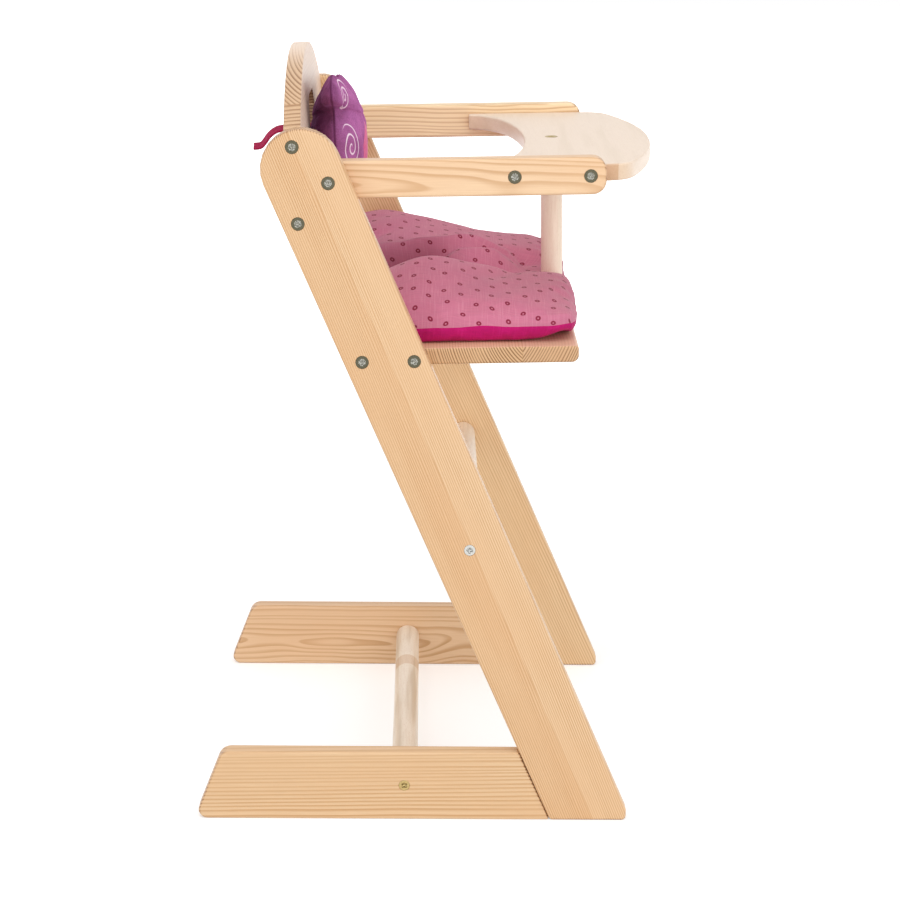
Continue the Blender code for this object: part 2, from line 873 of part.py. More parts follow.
def spaced(outline, gap):
    """The outline with extra points, so that no side is longer than the gap."""
    points = []
    for index, point in enumerate(outline):
        start = Vector(point)
        step = Vector(outline[(index + 1) % len(outline)]) - start
        pieces = max(1, math.ceil(step.length / gap))
        points += [tuple(start + step * k / pieces) for k in range(pieces)]
    return points


def cushion_top(x, y, share):
    """Height of the cushion's upper face. The left half swells to the rear, most of all at its
    outer side, the right half is lower and swells in its middle. A crease runs back from the
    notch, drifting to the right, with its steep wall on the left."""
    swell = max(0, y - cushion_swell_start) / (cushion_rear - cushion_swell_start)
    high = cushion_front_crown + (cushion_rear_crown - cushion_front_crown) * swell ** swell_power
    behind = max(0, y - cushion_sink_start) / (cushion_rear - cushion_sink_start)
    inward = min(1, max(0, 1 - x / cushion_sink_width))
    high *= 1 - cushion_sink_share * behind * inward
    off = (y - cushion_low_swell_place) / cushion_low_swell_reach
    low = cushion_low_crown + cushion_low_swell * math.exp(-off ** 2)
    floor_x = -cushion_crease_drift * (y - notch_end) / (cushion_rear - notch_end)
    blend = min(1, max(0, (x - floor_x) / cushion_side_blend / 2 + 1 / 2))
    crown = low + (high - low) * blend ** 2 * (3 - 2 * blend)
    dome = max(0, 1 - share ** cushion_flat_power) ** cushion_rim_power
    width = cushion_crease_far_width if x > floor_x else cushion_crease_near_width
    crease = cushion_crease_depth * math.exp(-abs((x - floor_x) / width) ** cushion_crease_power)
    return cushion_seam_height + dome * max(0, crown - crease)


def cushion_foot(x, y, share):
    """Height of the lower face: flat on the seat, rising to the seam at its rim and corners."""
    start_share = 1 - cushion_foot_inset / cushion_middle[1]
    rise = max(0, share - start_share) / (1 - start_share)
    side_gap = cushion_half - abs(x)
    end_gap = min(y - cushion_front, cushion_rear - y)
    off = math.hypot(side_gap, end_gap) / cushion_corner_lift_reach
    lift = cushion_corner_lift_share * math.exp(-off ** 2)
    return fit_gap + (cushion_seam_height - fit_gap) * (1 - (1 - rise ** 2) * (1 - lift))


cushion_seam = spaced(cushion_outline(), cushion_half / 11)
cushion_mesh = shell_mesh(
    "seat_cushion", cushion_seam, cushion_middle, cushion_top, cushion_foot, cushion_rings
)
add_object("seat_cushion", cushion_mesh, seat_frame, ring_cotton)


# Butterfly cushion: four plump lobes in the backrest's frame, and a slim body in front
wing_middle_y = (butterfly_height - backrest_foot_height) / math.cos(backrest_lean)
wing_centre_y = wing_middle_y + butterfly_middle_share * butterfly_drop
wing_top_y = wing_middle_y + butterfly_rise
wing_half_span = butterfly_span / 2


def wing_outline():
    """Both wings' seam: shares of the half span, and of the rise above or the drop below."""
    half = []
    for x_share, y_share in butterfly_outline_shares:
        reach = butterfly_rise if y_share > 0 else butterfly_drop
        half.append((x_share * wing_half_span, wing_middle_y + y_share * reach))
    mirrored = [(-x, y) for x, y in reversed(half[1:-1])]
    return smooth_loop(half + mirrored, 2)


def wing_half_thickness(x, y, share):
    """Half the wings' thickness, drawn in along the body and between upper and lower lobes."""
    dome = max(0, 1 - share ** 2) ** wing_rim_power
    body_crease = body_crease_share * math.exp(-(x / butterfly_crease_width) ** 2)
    beside = min(1, abs(x) / wing_half_span)
    level = (y - wing_middle_y) / butterfly_crease_width
    waist_crease = waist_crease_share * beside * math.exp(-level ** 2)
    taper = 1 - upper_taper_share * max(0, y - wing_centre_y) / (wing_top_y - wing_centre_y)
    return butterfly_thickness / 2 * dome * taper * (1 - body_crease) * (1 - waist_crease)


wing_seam = wing_outline()
wing_centre = (0, wing_centre_y)
wing_mesh = shell_mesh(
    "butterfly_wings",
    wing_seam,
    wing_centre,
    wing_half_thickness,
    lambda x, y, share: -wing_half_thickness(x, y, share),
    butterfly_rings,
)
wing_back = min(vert.co.z for vert in wing_mesh.vertices)
wing_plane = panel_thickness / 2 + fit_gap - wing_back
wing_tie = Matrix.Translation((0, wing_middle_y, wing_plane))
wing_turn = wing_tie @ Matrix.Rotation(butterfly_tilt, 4, "Z") @ Matrix.Translation((0, -wing_middle_y, 0))
wing_frame = backrest_frame @ wing_turn
wing_tree = BVHTree.FromPolygons(
    [vert.co for vert in wing_mesh.vertices],
    [face.vertices for face in wing_mesh.polygons],
)
add_object("butterfly_wings", wing_mesh, wing_frame, purple_velour)


def wing_surface(x, y, side):
    """Height of the wings' front (side 1) or back (side -1) face over a place, or the seam's."""
    hit = wing_tree.ray_cast(Vector((x, y, side * butterfly_thickness)), Vector((0, 0, -side)))
    return hit[0].z if hit[0] else 0


# Butterfly's body: a slim stuffed roll that lies in the crease between the wings
body_radius = body_diameter / 2
body_middle_y = wing_middle_y - body_drop - body_length / 2
body_rows = [math.pi * k / body_steps for k in range(body_steps + 1)]
body_profile = [
    (body_radius * math.sqrt(math.sin(row)) if 0 < row < math.pi else 0, body_length / 2 * math.cos(row))
    for row in body_rows
]
body_plane = max(
    wing_surface(radius * math.sin(lean), body_middle_y + y, 1) + radius * math.cos(lean)
    for radius, y in body_profile
    for lean in [math.pi / 2 * k / body_steps - math.pi / 4 for k in range(body_steps + 1)]
)
body_origin = Vector((0, body_middle_y, body_plane + fit_gap))
body_frame = wing_frame @ frame_of(body_origin, SIDEWAYS, -UP)
body_mesh = turned_mesh("butterfly_body", body_profile, screw_sides)
add_object("butterfly_body", body_mesh, body_frame, pink_cotton)


# Tapes: sewn to the back of the butterfly, led through the grip hole over its lower edge. One
# sticks out behind the board and the other hangs down its back.


def band_mesh(name, route, width, thickness, twist):
    """A flat tape along a route of (x, y, z) points, with its width along x up to the back of the
    board and twisted behind it."""

    def build(bm):
        rings = []
        for index, point in enumerate(route):
            ahead = route[min(index + 1, len(route) - 1)]
            behind = route[max(index - 1, 0)]
            run = (ahead - behind).normalized()
            turned = min(1, max(0, index / tape_steps - 2)) * twist
            across = Matrix.Rotation(turned, 3, run) @ SIDEWAYS * (width / 2)
            through = run.cross(across).normalized() * (thickness / 2)
            signs = ((-1, -1), (1, -1), (1, 1), (-1, 1))
            rings.append([bm.verts.new(point + across * a + through * b) for a, b in signs])
        bm.faces.new(rings[0])
        bm.faces.new(rings[-1])
        for first, second in zip(rings, rings[1:]):
            bridge(bm, first, second)

    return mesh_from(name, build)


def smooth_route(points, pieces):
    """A smooth open curve through the points."""
    route = []
    last = len(points) - 1
    for index in range(last):
        a = points[max(index - 1, 0)]
        b = points[index]
        c = points[index + 1]
        d = points[min(index + 2, last)]
        route += [curve_point(a, b, c, d, piece / pieces) for piece in range(pieces)]
    return route + [points[last]]


tape_y = grip_y - grip_radius + fit_gap + tape_thickness / 2
board_face = panel_thickness / 2
for name, side, back, drop, twist, shares in (
    ("tape_near", -1, near_tail_back, near_tail_drop, near_tail_twist, near_tail_shares),
    ("tape_far", 1, far_tail_back, far_tail_drop, 0, far_tail_shares),
):
    tape_x = side * tape_offset
    edges = [tape_x + tape_width / 2 * k for k in (-1, 0, 1)]
    levels = [tape_y + tape_thickness * k for k in (-1, 0, 1)]
    spots = [wing_turn.inverted() @ Vector((x, y, wing_plane)) for x in edges for y in levels]
    wing_gap = min(wing_surface(spot.x, spot.y, -1) for spot in spots) - fit_gap
    points = [Vector((tape_x, tape_y, wing_plane + wing_gap))]
    points.append(Vector((tape_x, tape_y, board_face)))
    points.append(Vector((tape_x, tape_y, -board_face)))
    points += [
        Vector((tape_x, tape_y - drop * down, -board_face - edge_round - back * out))
        for out, down in shares
    ]
    route = smooth_route(points, tape_steps)
    tape_mesh = band_mesh(name, route, tape_width, tape_thickness, twist)
    add_object(name, tape_mesh, backrest_frame, magenta_tape)
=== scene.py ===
import math

import bmesh
import bpy
import numpy as np
from mathutils import Matrix, Vector


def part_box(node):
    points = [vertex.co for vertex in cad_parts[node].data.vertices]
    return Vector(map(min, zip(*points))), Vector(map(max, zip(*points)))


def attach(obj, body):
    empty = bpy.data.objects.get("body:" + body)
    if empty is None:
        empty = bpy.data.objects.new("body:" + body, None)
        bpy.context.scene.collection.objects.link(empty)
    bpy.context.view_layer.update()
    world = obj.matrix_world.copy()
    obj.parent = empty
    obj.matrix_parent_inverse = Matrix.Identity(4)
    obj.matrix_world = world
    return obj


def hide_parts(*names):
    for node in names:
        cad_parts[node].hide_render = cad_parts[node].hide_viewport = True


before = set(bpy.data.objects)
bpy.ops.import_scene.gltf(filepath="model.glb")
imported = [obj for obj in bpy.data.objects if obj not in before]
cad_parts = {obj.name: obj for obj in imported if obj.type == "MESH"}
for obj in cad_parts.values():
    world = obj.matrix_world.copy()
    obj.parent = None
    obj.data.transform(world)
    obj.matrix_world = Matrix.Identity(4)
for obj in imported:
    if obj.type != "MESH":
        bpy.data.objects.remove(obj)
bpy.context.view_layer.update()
scene = bpy.context.scene


# The photograph's view: a long lens looks at the chair's right side, from a little above the
# tray and almost square to it.
view_place = Vector((-1.47643, 0.00103, 0.67086))
view_dip, view_turn, view_roll = 0.29536, 0.01316, -0.01113
view_lens = 85.67

level_ahead = Vector((math.cos(view_turn), -math.sin(view_turn), 0))
level_right = Vector((-math.sin(view_turn), -math.cos(view_turn), 0))
ahead = level_ahead * math.cos(view_dip) - Vector((0, 0, math.sin(view_dip)))
downward = -level_ahead * math.sin(view_dip) - Vector((0, 0, math.cos(view_dip)))
view_right = level_right * math.cos(view_roll) + downward * math.sin(view_roll)
view_down = downward * math.cos(view_roll) - level_right * math.sin(view_roll)

camera = bpy.data.objects.new("photograph_view", bpy.data.cameras.new("photograph_view"))
camera.data.sensor_fit = "HORIZONTAL"
camera.data.lens = view_lens
camera_axes = Matrix((view_right, -view_down, -ahead)).transposed().to_4x4()
camera.matrix_world = Matrix.Translation(view_place) @ camera_axes
scene.collection.objects.link(camera)
scene.camera = camera


# Side frames: two slanting uprights and two floor runners, sawn from pine boards 12 mm thick,
# rounded over along their edges, lacquered and glued in pairs on hidden beech dowels.
upright_lean = math.radians(23.5)
upright_grain = Vector((0, math.sin(upright_lean), math.cos(upright_lean)))
upright_across = Vector((0, -math.cos(upright_lean), math.sin(upright_lean)))
grain_forward = Vector((0, -1, 0))
grain_up = Vector((0, 0, 1))
rounded_edge = math.radians(50)
weld = 1e-6

pine_late = (0.53, 0.280, 0.112)
pine_end_late = (0.30, 0.135, 0.050)
patch_tone = (0.92, 0.81, 0.71)
hollow_tone = (0.50, 0.42, 0.38)
late_rise, late_fall = (0.36, 0.86), (0.90, 1.0)
glue_line = (0.0001, 0.0004)
satin_roughness = (0.42, 0.34)
grain_depth = 0.0002


class Signal:
    """What one socket of a material gives. Sums with other signals or numbers add Math nodes."""

    def __init__(self, socket):
        self.socket = socket

    def node(self, kind, settings, inputs, output=0):
        """One more node in this material: first its settings, then its sockets."""
        added = self.socket.id_data.nodes.new("ShaderNode" + kind)
        for name, value in settings.items():
            setattr(added, name, value)
        feed(added, inputs)
        return Signal(added.outputs[output])

    def math(self, operation, *values):
        return self.node("Math", {"operation": operation}, dict(enumerate(values)))

    def __add__(self, other):
        return self.math("ADD", self, other)

    __radd__ = __add__

    def __sub__(self, other):
        return self.math("SUBTRACT", self, other)

    def __rsub__(self, other):
        return self.math("SUBTRACT", other, self)

    def __mul__(self, other):
        return self.math("MULTIPLY", self, other)

    __rmul__ = __mul__

    def __truediv__(self, other):
        return self.math("DIVIDE", self, other)

    def __pow__(self, other):
        return self.math("POWER", self, other)

    def __gt__(self, other):
        return self.math("GREATER_THAN", self, other)

    def __lt__(self, other):
        return self.math("LESS_THAN", self, other)

    def __abs__(self):
        return self.math("ABSOLUTE", self)

    def fraction(self):
        return self.math("FRACT", self)

    def whole(self):
        return self.math("FLOOR", self)

    def ramp(self, start, end, low=0.0, high=1.0):
        """Rises smoothly from low, where the signal is start, to high, where it is end."""
        values = {0: self, 1: start, 2: end, 3: low, 4: high}
        return self.node("MapRange", {"interpolation_type": "SMOOTHSTEP"}, values)

    def inside(self, start, stop, soft):
        """1 from start to stop, with a soft stretch at the beginning and one past the end."""
        return self.ramp(start, start + soft) * self.ramp(stop, stop + soft, 1.0, 0.0)

    def parts(self):
        """The x, y and z of a vector."""
        node = self.node("SeparateXYZ", {}, {0: self}).socket.node
        return [Signal(socket) for socket in node.outputs]

    def point(self, x, y, z):
        """A vector of three numbers or signals."""
        return self.node("CombineXYZ", {}, {0: x, 1: y, 2: z})

    def along(self, axis):
        """How nearly a direction lies along an axis: 1 along it, 0 square to it."""
        values = {0: self, 1: self.point(*axis)}
        return abs(self.node("VectorMath", {"operation": "DOT_PRODUCT"}, values, 1))

    def noise(self, x, y, z, detail=2.0):
        """Soft noise from 0 to 1, one unit of x, y and z a grain."""
        values = {"Vector": self.point(x, y, z), "Scale": 1.0, "Detail": detail}
        return self.node("TexNoise", {}, values)

    def blend(self, first, second):
        """Colour that goes from first to second as the signal goes from 0 to 1."""
        values = {0: self, 6: paint(first), 7: paint(second)}
        return self.node("Mix", {"data_type": "RGBA"}, values, 2)

    def tinted(self, tone, share=1.0):
        """This colour multiplied by a tone, as far as the share goes."""
        settings = {"data_type": "RGBA", "blend_type": "MULTIPLY"}
        return self.node("Mix", settings, {0: share, 6: self, 7: paint(tone)}, 2)


def paint(colour):
    """A colour with its alpha, or a signal as it is."""
    return colour if isinstance(colour, Signal) else (*colour, 1.0)


def feed(node, inputs):
    """Sets or links a node's sockets."""
    for name, value in inputs.items():
        if isinstance(value, Signal):
            node.id_data.links.new(value.socket, node.inputs[name])
        else:
            node.inputs[name].default_value = value


def new_finish(name):
    """A new material with its shader, and the signals of place and of the face's direction."""
    finish = bpy.data.materials.new(name)
    finish.use_nodes = True
    tree = finish.node_tree
    coordinates = tree.nodes.new("ShaderNodeTexCoord")
    place = Signal(coordinates.outputs["Object"])
    facing = Signal(coordinates.outputs["Normal"])
    return finish, tree.nodes["Principled BSDF"], place, facing


def own_place(place, axes, middle):
    """A piece's own coordinates: distances from its middle along its axes, as three signals."""
    values = {"Vector": place, "Location": middle, "Rotation": axes.to_euler()}
    return place.node("Mapping", {"vector_type": "TEXTURE"}, values).parts()


def board_finish(name, node, along, across):
    """What a board's material starts from: the material, its shader, a signal to make others
    from, distances along, across and through the board, the face's direction, and how nearly
    the face is end grain."""
    finish, shader, place, facing = new_finish(name)
    low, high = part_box(node)
    axes = Matrix((along, across, along.cross(across))).transposed()
    own = own_place(place, axes, (low + high) / 2)
    return finish, shader, place, own, facing, facing.along(along)


def coat(shader, colour, roughness, relief, strength, depth, constants=()):
    """Gives a shader its colour, its roughness, a bump of that relief, and its constants."""
    bump = relief.node("Bump", {}, {"Strength": strength, "Distance": depth, "Height": relief})
    varying = {"Base Color": colour, "Roughness": roughness, "Normal": bump}
    feed(shader, varying | dict(constants))


def corner_places(mesh):
    """A mesh's corners, as rows of x, y and z."""
    places = np.empty(len(mesh.vertices) * 3)
    mesh.vertices.foreach_get("co", places)
    return places.reshape(-1, 3)


def welded(node):
    """The corners and triangles of a CAD node, with corners at one place made one."""
    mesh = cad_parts[node].data
    points = corner_places(mesh)
    mesh.calc_loop_triangles()
    corners = np.empty(len(mesh.loop_triangles) * 3, int)
    mesh.loop_triangles.foreach_get("vertices", corners)
    keys = np.round(points / weld).astype(np.int64)
    _, first, where = np.unique(keys, axis=0, return_index=True, return_inverse=True)
    triangles = where.reshape(-1)[corners].reshape(-1, 3)
    a, b, c = triangles.T
    return points[first], triangles[(a != b) & (b != c) & (c != a)]


def put(name, points, faces, finish, body, slot, replaced, sharp=rounded_edge):
    """One piece of the object: smooth over its roundings and sharp at edges that turn by more
    than the angle, riding on its body and shown in place of its CAD nodes."""
    mesh = bpy.data.meshes.new(name)
    mesh.from_pydata(np.asarray(points).tolist(), [], np.asarray(faces).tolist())
    mesh.materials.append(finish)
    mesh.shade_smooth()
    mesh.set_sharp_from_angle(angle=sharp)
    piece = bpy.data.objects.new(name, mesh)
    scene.collection.objects.link(piece)
    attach(piece, body)
    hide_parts(*replaced)
    return piece


def dressed(node, finish, body, slot):
    """A CAD piece in its final shape, shaded by the size of its faces so that flats stay flat."""
    piece = put(node + "_wood", *welded(node), finish, body, slot, [node])
    evened = piece.modifiers.new("even shading", "WEIGHTED_NORMAL")
    evened.keep_sharp = True


def pine(
    name, node, along, across, pith, ring_gap, early, seed, swing, contrast, drift=(0.0, 0.0),
    calm=1.0, tone=None, staves=(), end_boost=0.5, end_tone=(0.86, 0.80, 0.76),
    end_from=(0.2, 0.75), hollow=None, body="frame",
):
    """A board of pine with its real rings: each stave of the board was cut round its own pith
    line, a place off to one side of the board, and a ring is where the distance to that line
    passes a whole number of ring gaps. A ring starts pale and ends in a thin dark line. The pith
    line wanders along the board, so faces, edges and end grain show one and the same rings.
    Further staves are given by where they start across the board, their pith and their tone. A
    hollow, given by its half length, its place across and its half height, has darker walls,
    since little light of the studio reaches into it."""
    finish, shader, place, (s, u, v), facing, end = board_finish(name, node, along, across)
    wander = place.noise(s * (9 * calm) + seed, u * 14 + seed, v * 14) - 0.5
    (pith_u, pith_v), last, seams = pith, pith, 0.0
    for start, following, next_tone in staves:
        beyond = u > start
        pith_u = beyond * (following[0] - last[0]) + pith_u
        pith_v = beyond * (following[1] - last[1]) + pith_v
        tone = beyond.blend(tone, next_tone)
        seams = abs(u - start).ramp(*glue_line, 1.0, 0.0) + seams
        last = following
    du = u - pith_u - s * drift[0] + wander * swing
    dv = v - pith_v - s * drift[1] + wander * (swing * 2)
    distance = (du * du + dv * dv) ** 0.5
    uneven = place.noise(distance * 130 + seed, u * 3, s * 2, 1.0)
    ring = (distance / ring_gap + uneven * 1.6).fraction()
    line = ring.ramp(*late_rise) * ring.ramp(*late_fall, 1.0, 0.0)
    force = place.noise(s * 5, u * 70 + seed, v * 70, 1.0).ramp(0.3, 0.7, 0.6, 1.0)
    fibre = place.noise(s * 40, u * 1500, v * 1500, 1.0)
    patch = place.noise(s * 8 + seed, u * 26, v * 26 + seed, 1.0)
    end = end.ramp(*end_from)
    dark = end.blend(pine_late, pine_end_late)
    wood = (line * force * (end * end_boost + contrast)).blend(early, dark)
    wood = fibre.ramp(0.25, 0.75, 0.0, 0.16).blend(wood, pine_late)
    patched = tuple(a * b for a, b in zip(early, patch_tone))
    wood = patch.ramp(0.35, 0.70, 0.0, 0.35).blend(wood, patched)
    if staves:
        wood = (seams * 0.35).blend(wood, pine_late).tinted(tone)
    wood = wood.tinted(end_tone, end * 0.9)
    if hollow:
        half_long, middle, half_high = hollow
        within = (abs(s) < half_long) * (abs(u - middle) < half_high)
        on_face = facing.along(along.cross(across))
        wood = wood.tinted(hollow_tone, within * on_face.ramp(0.3, 0.8, 1.0, 0.0))
    relief = line * 0.5 + fibre * 0.6
    coat(shader, wood, ring.ramp(0.3, 1.0, *satin_roughness), relief, 0.25, grain_depth)
    dressed(node, finish, body, "pine")


pine(
    "near_upright_pine", "upright_right", upright_grain, upright_across, (-0.16, 0.03), 0.00145,
    early=(0.80, 0.545, 0.320), seed=3.0, swing=0.003, contrast=1.0, drift=(0.03, 0.0), calm=0.5,
    tone=(0.97, 0.94, 0.90), staves=[(-0.0025, (-0.25, 0.05), (1.02, 1.04, 1.06))],
)
# The far upright and the far runner are given paler early wood than the near ones: painted light,
# which lifts the shade they stand in behind the near frame.
pine(
    "far_upright_pine", "upright_left", upright_grain, upright_across, (-0.20, 0.04), 0.0019,
    early=(0.84, 0.590, 0.340), seed=8.0, swing=0.007, contrast=0.75, drift=(-0.02, 0.0), calm=0.7,
)
pine(
    "near_runner_pine", "runner_right", grain_forward, grain_up, (-0.055, 0.035), 0.0026,
    early=(0.77, 0.535, 0.315), seed=13.0, swing=0.006, contrast=0.80, drift=(0.02, 0.01), calm=0.6,
)
pine(
    "far_runner_pine", "runner_left", grain_forward, grain_up, (-0.004, 0.012), 0.0036,
    early=(0.82, 0.565, 0.350), seed=21.0, swing=0.014, contrast=0.85, drift=(0.01, 0.03),
)


# Beech rails: a floor stretcher and a footrest bar, turned from pale beech dowel and held by one
# screw at each end. The same beech makes the hidden glue dowels.
rail_grain = Vector((1, 0, 0))
beech_pale = (0.94, 0.82, 0.68)
beech_fleck = (0.70, 0.49, 0.33)
beech_band = (0.70, 0.56, 0.41)
heart_tone = (0.82, 0.68, 0.56)
heart_soft, stave_soft = 0.0015, 0.0008


def beech(
    name, node, along, across, pale=beech_pale, fleck=0.5, bands=0.3, seed=0.0,
    end_tone=(0.80, 0.67, 0.57), heart=None, stave=None, body="frame",
):
    """A piece of beech: an even pale ground in faint wide bands, with short dark flecks along
    the grain, where noise drawn out along it comes over a level. A heart is a browner stretch
    between two places along the grain, and a stave one that shows at the end grain, between two
    places across."""
    finish, shader, place, (s, u, v), _, end = board_finish(name, node, along, across)
    band = place.noise(s * 9 + seed, u * 120 + seed, v * 120)
    streak = place.noise(s * 60, u * 900, v * 900)
    flecks = place.noise(s * 420 + seed, u * 2600, v * 2600, 1.0)
    wood = band.ramp(0.42, 0.70, 0.0, bands).blend(pale, beech_band)
    wood = streak.ramp(0.35, 0.75, 0.0, 0.22).blend(wood, beech_fleck)
    wood = flecks.ramp(0.58, 0.72, 0.0, fleck).blend(wood, beech_fleck)
    wood = wood.tinted(end_tone, end.ramp(0.35, 0.95, 0.0, 0.85))
    if heart:
        wood = wood.tinted(heart_tone, s.inside(*heart, heart_soft) * 0.75)
    if stave:
        wood = wood.tinted(heart_tone, u.inside(*stave, stave_soft) * end)
    relief = streak + flecks * 0.5
    coat(shader, wood, streak.ramp(0.3, 0.7, *satin_roughness), relief, 0.2, grain_depth)
    dressed(node, finish, body, "beech")


for node, seed, bands, heart in (
    ("floor_stretcher", 4.0, 1.0, (0.0505, 0.0685)), ("footrest_bar", 9.0, 0.2, None),
):
    beech(node + "_beech", node, rail_grain, grain_up, bands=bands, seed=seed, heart=heart)
for side in ("right", "left"):
    for height in ("lower", "upper"):
        node = f"glue_dowel_{height}_{side}"
        beech(node + "_beech", node, rail_grain, grain_up)


# Seat board: pine staves glued side by side with their grain across the chair, so that the near
# edge shows end grain. It rises a little to the front.
seat_rake = math.radians(1.4)
seat_back = Vector((0, math.cos(seat_rake), -math.sin(seat_rake)))

pine(
    "seat_pine", "seat_board", rail_grain, seat_back, (0.028, 0.048), 0.0017,
    early=(0.88, 0.60, 0.43), seed=31.0, swing=0.003, contrast=0.58, tone=(0.98, 0.97, 0.99),
    staves=[
        (-0.0385, (-0.062, 0.024), (1.0, 0.98, 0.95)), (0.030, (0.0, 0.056), (0.97, 0.97, 0.96)),
    ],
    end_boost=0.9, end_tone=(0.75, 0.70, 0.51),
)


# Backrest board: pine staves with their grain across the chair, a low arch sawn on top and a grip
# hole below it. Two screws a side hold it between the uprights.
backrest_lean = math.radians(3.9)
backrest_up = Vector((0, math.sin(backrest_lean), math.cos(backrest_lean)))
grip_height, grip_half_long, grip_half_high = 0.465, 0.0299, 0.0119

backrest_low, backrest_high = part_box("backrest_board")
grip_place = (grip_height - (backrest_low.z + backrest_high.z) / 2) / math.cos(backrest_lean)
pine(
    "backrest_pine", "backrest_board", rail_grain, backrest_up, (-0.16, 0.004), 0.0020,
    early=(0.94, 0.79, 0.67), seed=44.0, swing=0.003, contrast=0.28, tone=(0.97, 0.95, 0.93),
    staves=[(0.0290, (0.065, 0.022), (0.98, 0.97, 0.96))],
    end_boost=1.0, end_tone=(0.74, 0.60, 0.42), end_from=(0.04, 0.30),
    hollow=(grip_half_long, grip_place, grip_half_high),
)


# Armrests: two pine bars with half-round rear ends, which carry the tray and swing up with it on
# one screw a side.
pine(
    "near_armrest_pine", "armrest_right", grain_forward, grain_up, (-0.006, 0.016), 0.0031,
    early=(0.85, 0.595, 0.375), seed=52.0, swing=0.008, contrast=0.78, drift=(-0.012, 0.03),
    body="tray",
)
# The far armrest is given paler early wood than the near one: painted light, which lifts the shade
# it stands in beyond the tray and the near frame.
pine(
    "far_armrest_pine", "armrest_left", grain_forward, grain_up, (0.030, 0.020), 0.0026,
    early=(0.95, 0.74, 0.47), seed=66.0, swing=0.005, contrast=0.75, drift=(0.01, 0.02),
    body="tray",
)


# Tray and post: a beech board with a cut-out for the doll and a bowed front, screwed between the
# armrests, and a round beech post below it that stands in the cushion's notch.
tray_pale = (0.87, 0.715, 0.58)
post_pale = (0.94, 0.79, 0.64)
tray_end_tone = (0.90, 0.82, 0.72)
tray_brown_stave = (0.022, 0.030)

beech(
    "tray_beech", "tray_board", rail_grain, grain_forward, tray_pale, fleck=0.35,
    end_tone=tray_end_tone, stave=tray_brown_stave, body="tray",
)
beech("post_beech", "crotch_post", grain_up, rail_grain, post_pale, fleck=0.25, body="tray")


# Screws: countersunk cross-recess wood screws, 4 mm in dark zinc for the boards, one in yellow for
# the post, and 3.5 mm, bright or yellow, for the rails. The driver has rubbed the dark plating
# bright in the recess, and a painted highlight there adds to that wear. In the bright and yellow
# screws the recess is painted dark: painted shade.
head_depth = 0.0026
tip_length = 0.005
thread_pitch = 0.0018
thread_height = 0.00035
rim_width, rim_drop = 0.00015, 0.00012
recess_depth, recess_rise = 0.0017, 0.55
arm_reach, arm_half, arm_edge = 0.56, 0.00058, 0.00006
tick_half, tick_edge, tick_depth = 0.00013, 0.00005, 0.00018
centre_wear_and_light = 0.42
head_turns = 96
head_rings = 34
shank_rings = 90
dark_zinc = (0.105, 0.098, 0.066)
bright_zinc = (0.60, 0.60, 0.57)
yellow_zinc = (0.56, 0.43, 0.19)


def close_seams(piece):
    """Makes the corners at one place one corner and turns every face outwards."""
    closing = bmesh.new()
    closing.from_mesh(piece.data)
    bmesh.ops.remove_doubles(closing, verts=closing.verts, dist=weld)
    bmesh.ops.recalc_face_normals(closing, faces=closing.faces)
    closing.to_mesh(piece.data)
    closing.free()


def marked(piece, name, values):
    """Gives each corner of a piece a number, for its material to read."""
    mark = piece.data.attributes.new(name, "FLOAT", "POINT")
    mark.data.foreach_set("value", values.astype(np.float32))


def numbered(rows, columns):
    """The numbers of a grid's points, row by row."""
    return np.arange(rows * columns).reshape(rows, columns)


def ring_faces(rows, columns):
    """Quads between the neighbouring points of rings, each closed on itself."""
    index = numbered(rows, columns)
    beside = np.roll(index, -1, axis=1)
    return np.stack([index[:-1], index[1:], beside[1:], beside[:-1]], -1).reshape(-1, 4)


def step(value, low, high):
    """Rises smoothly from 0 at low to 1 at high."""
    share = np.clip((value - low) / (high - low), 0, 1)
    return share * share * (3 - 2 * share)


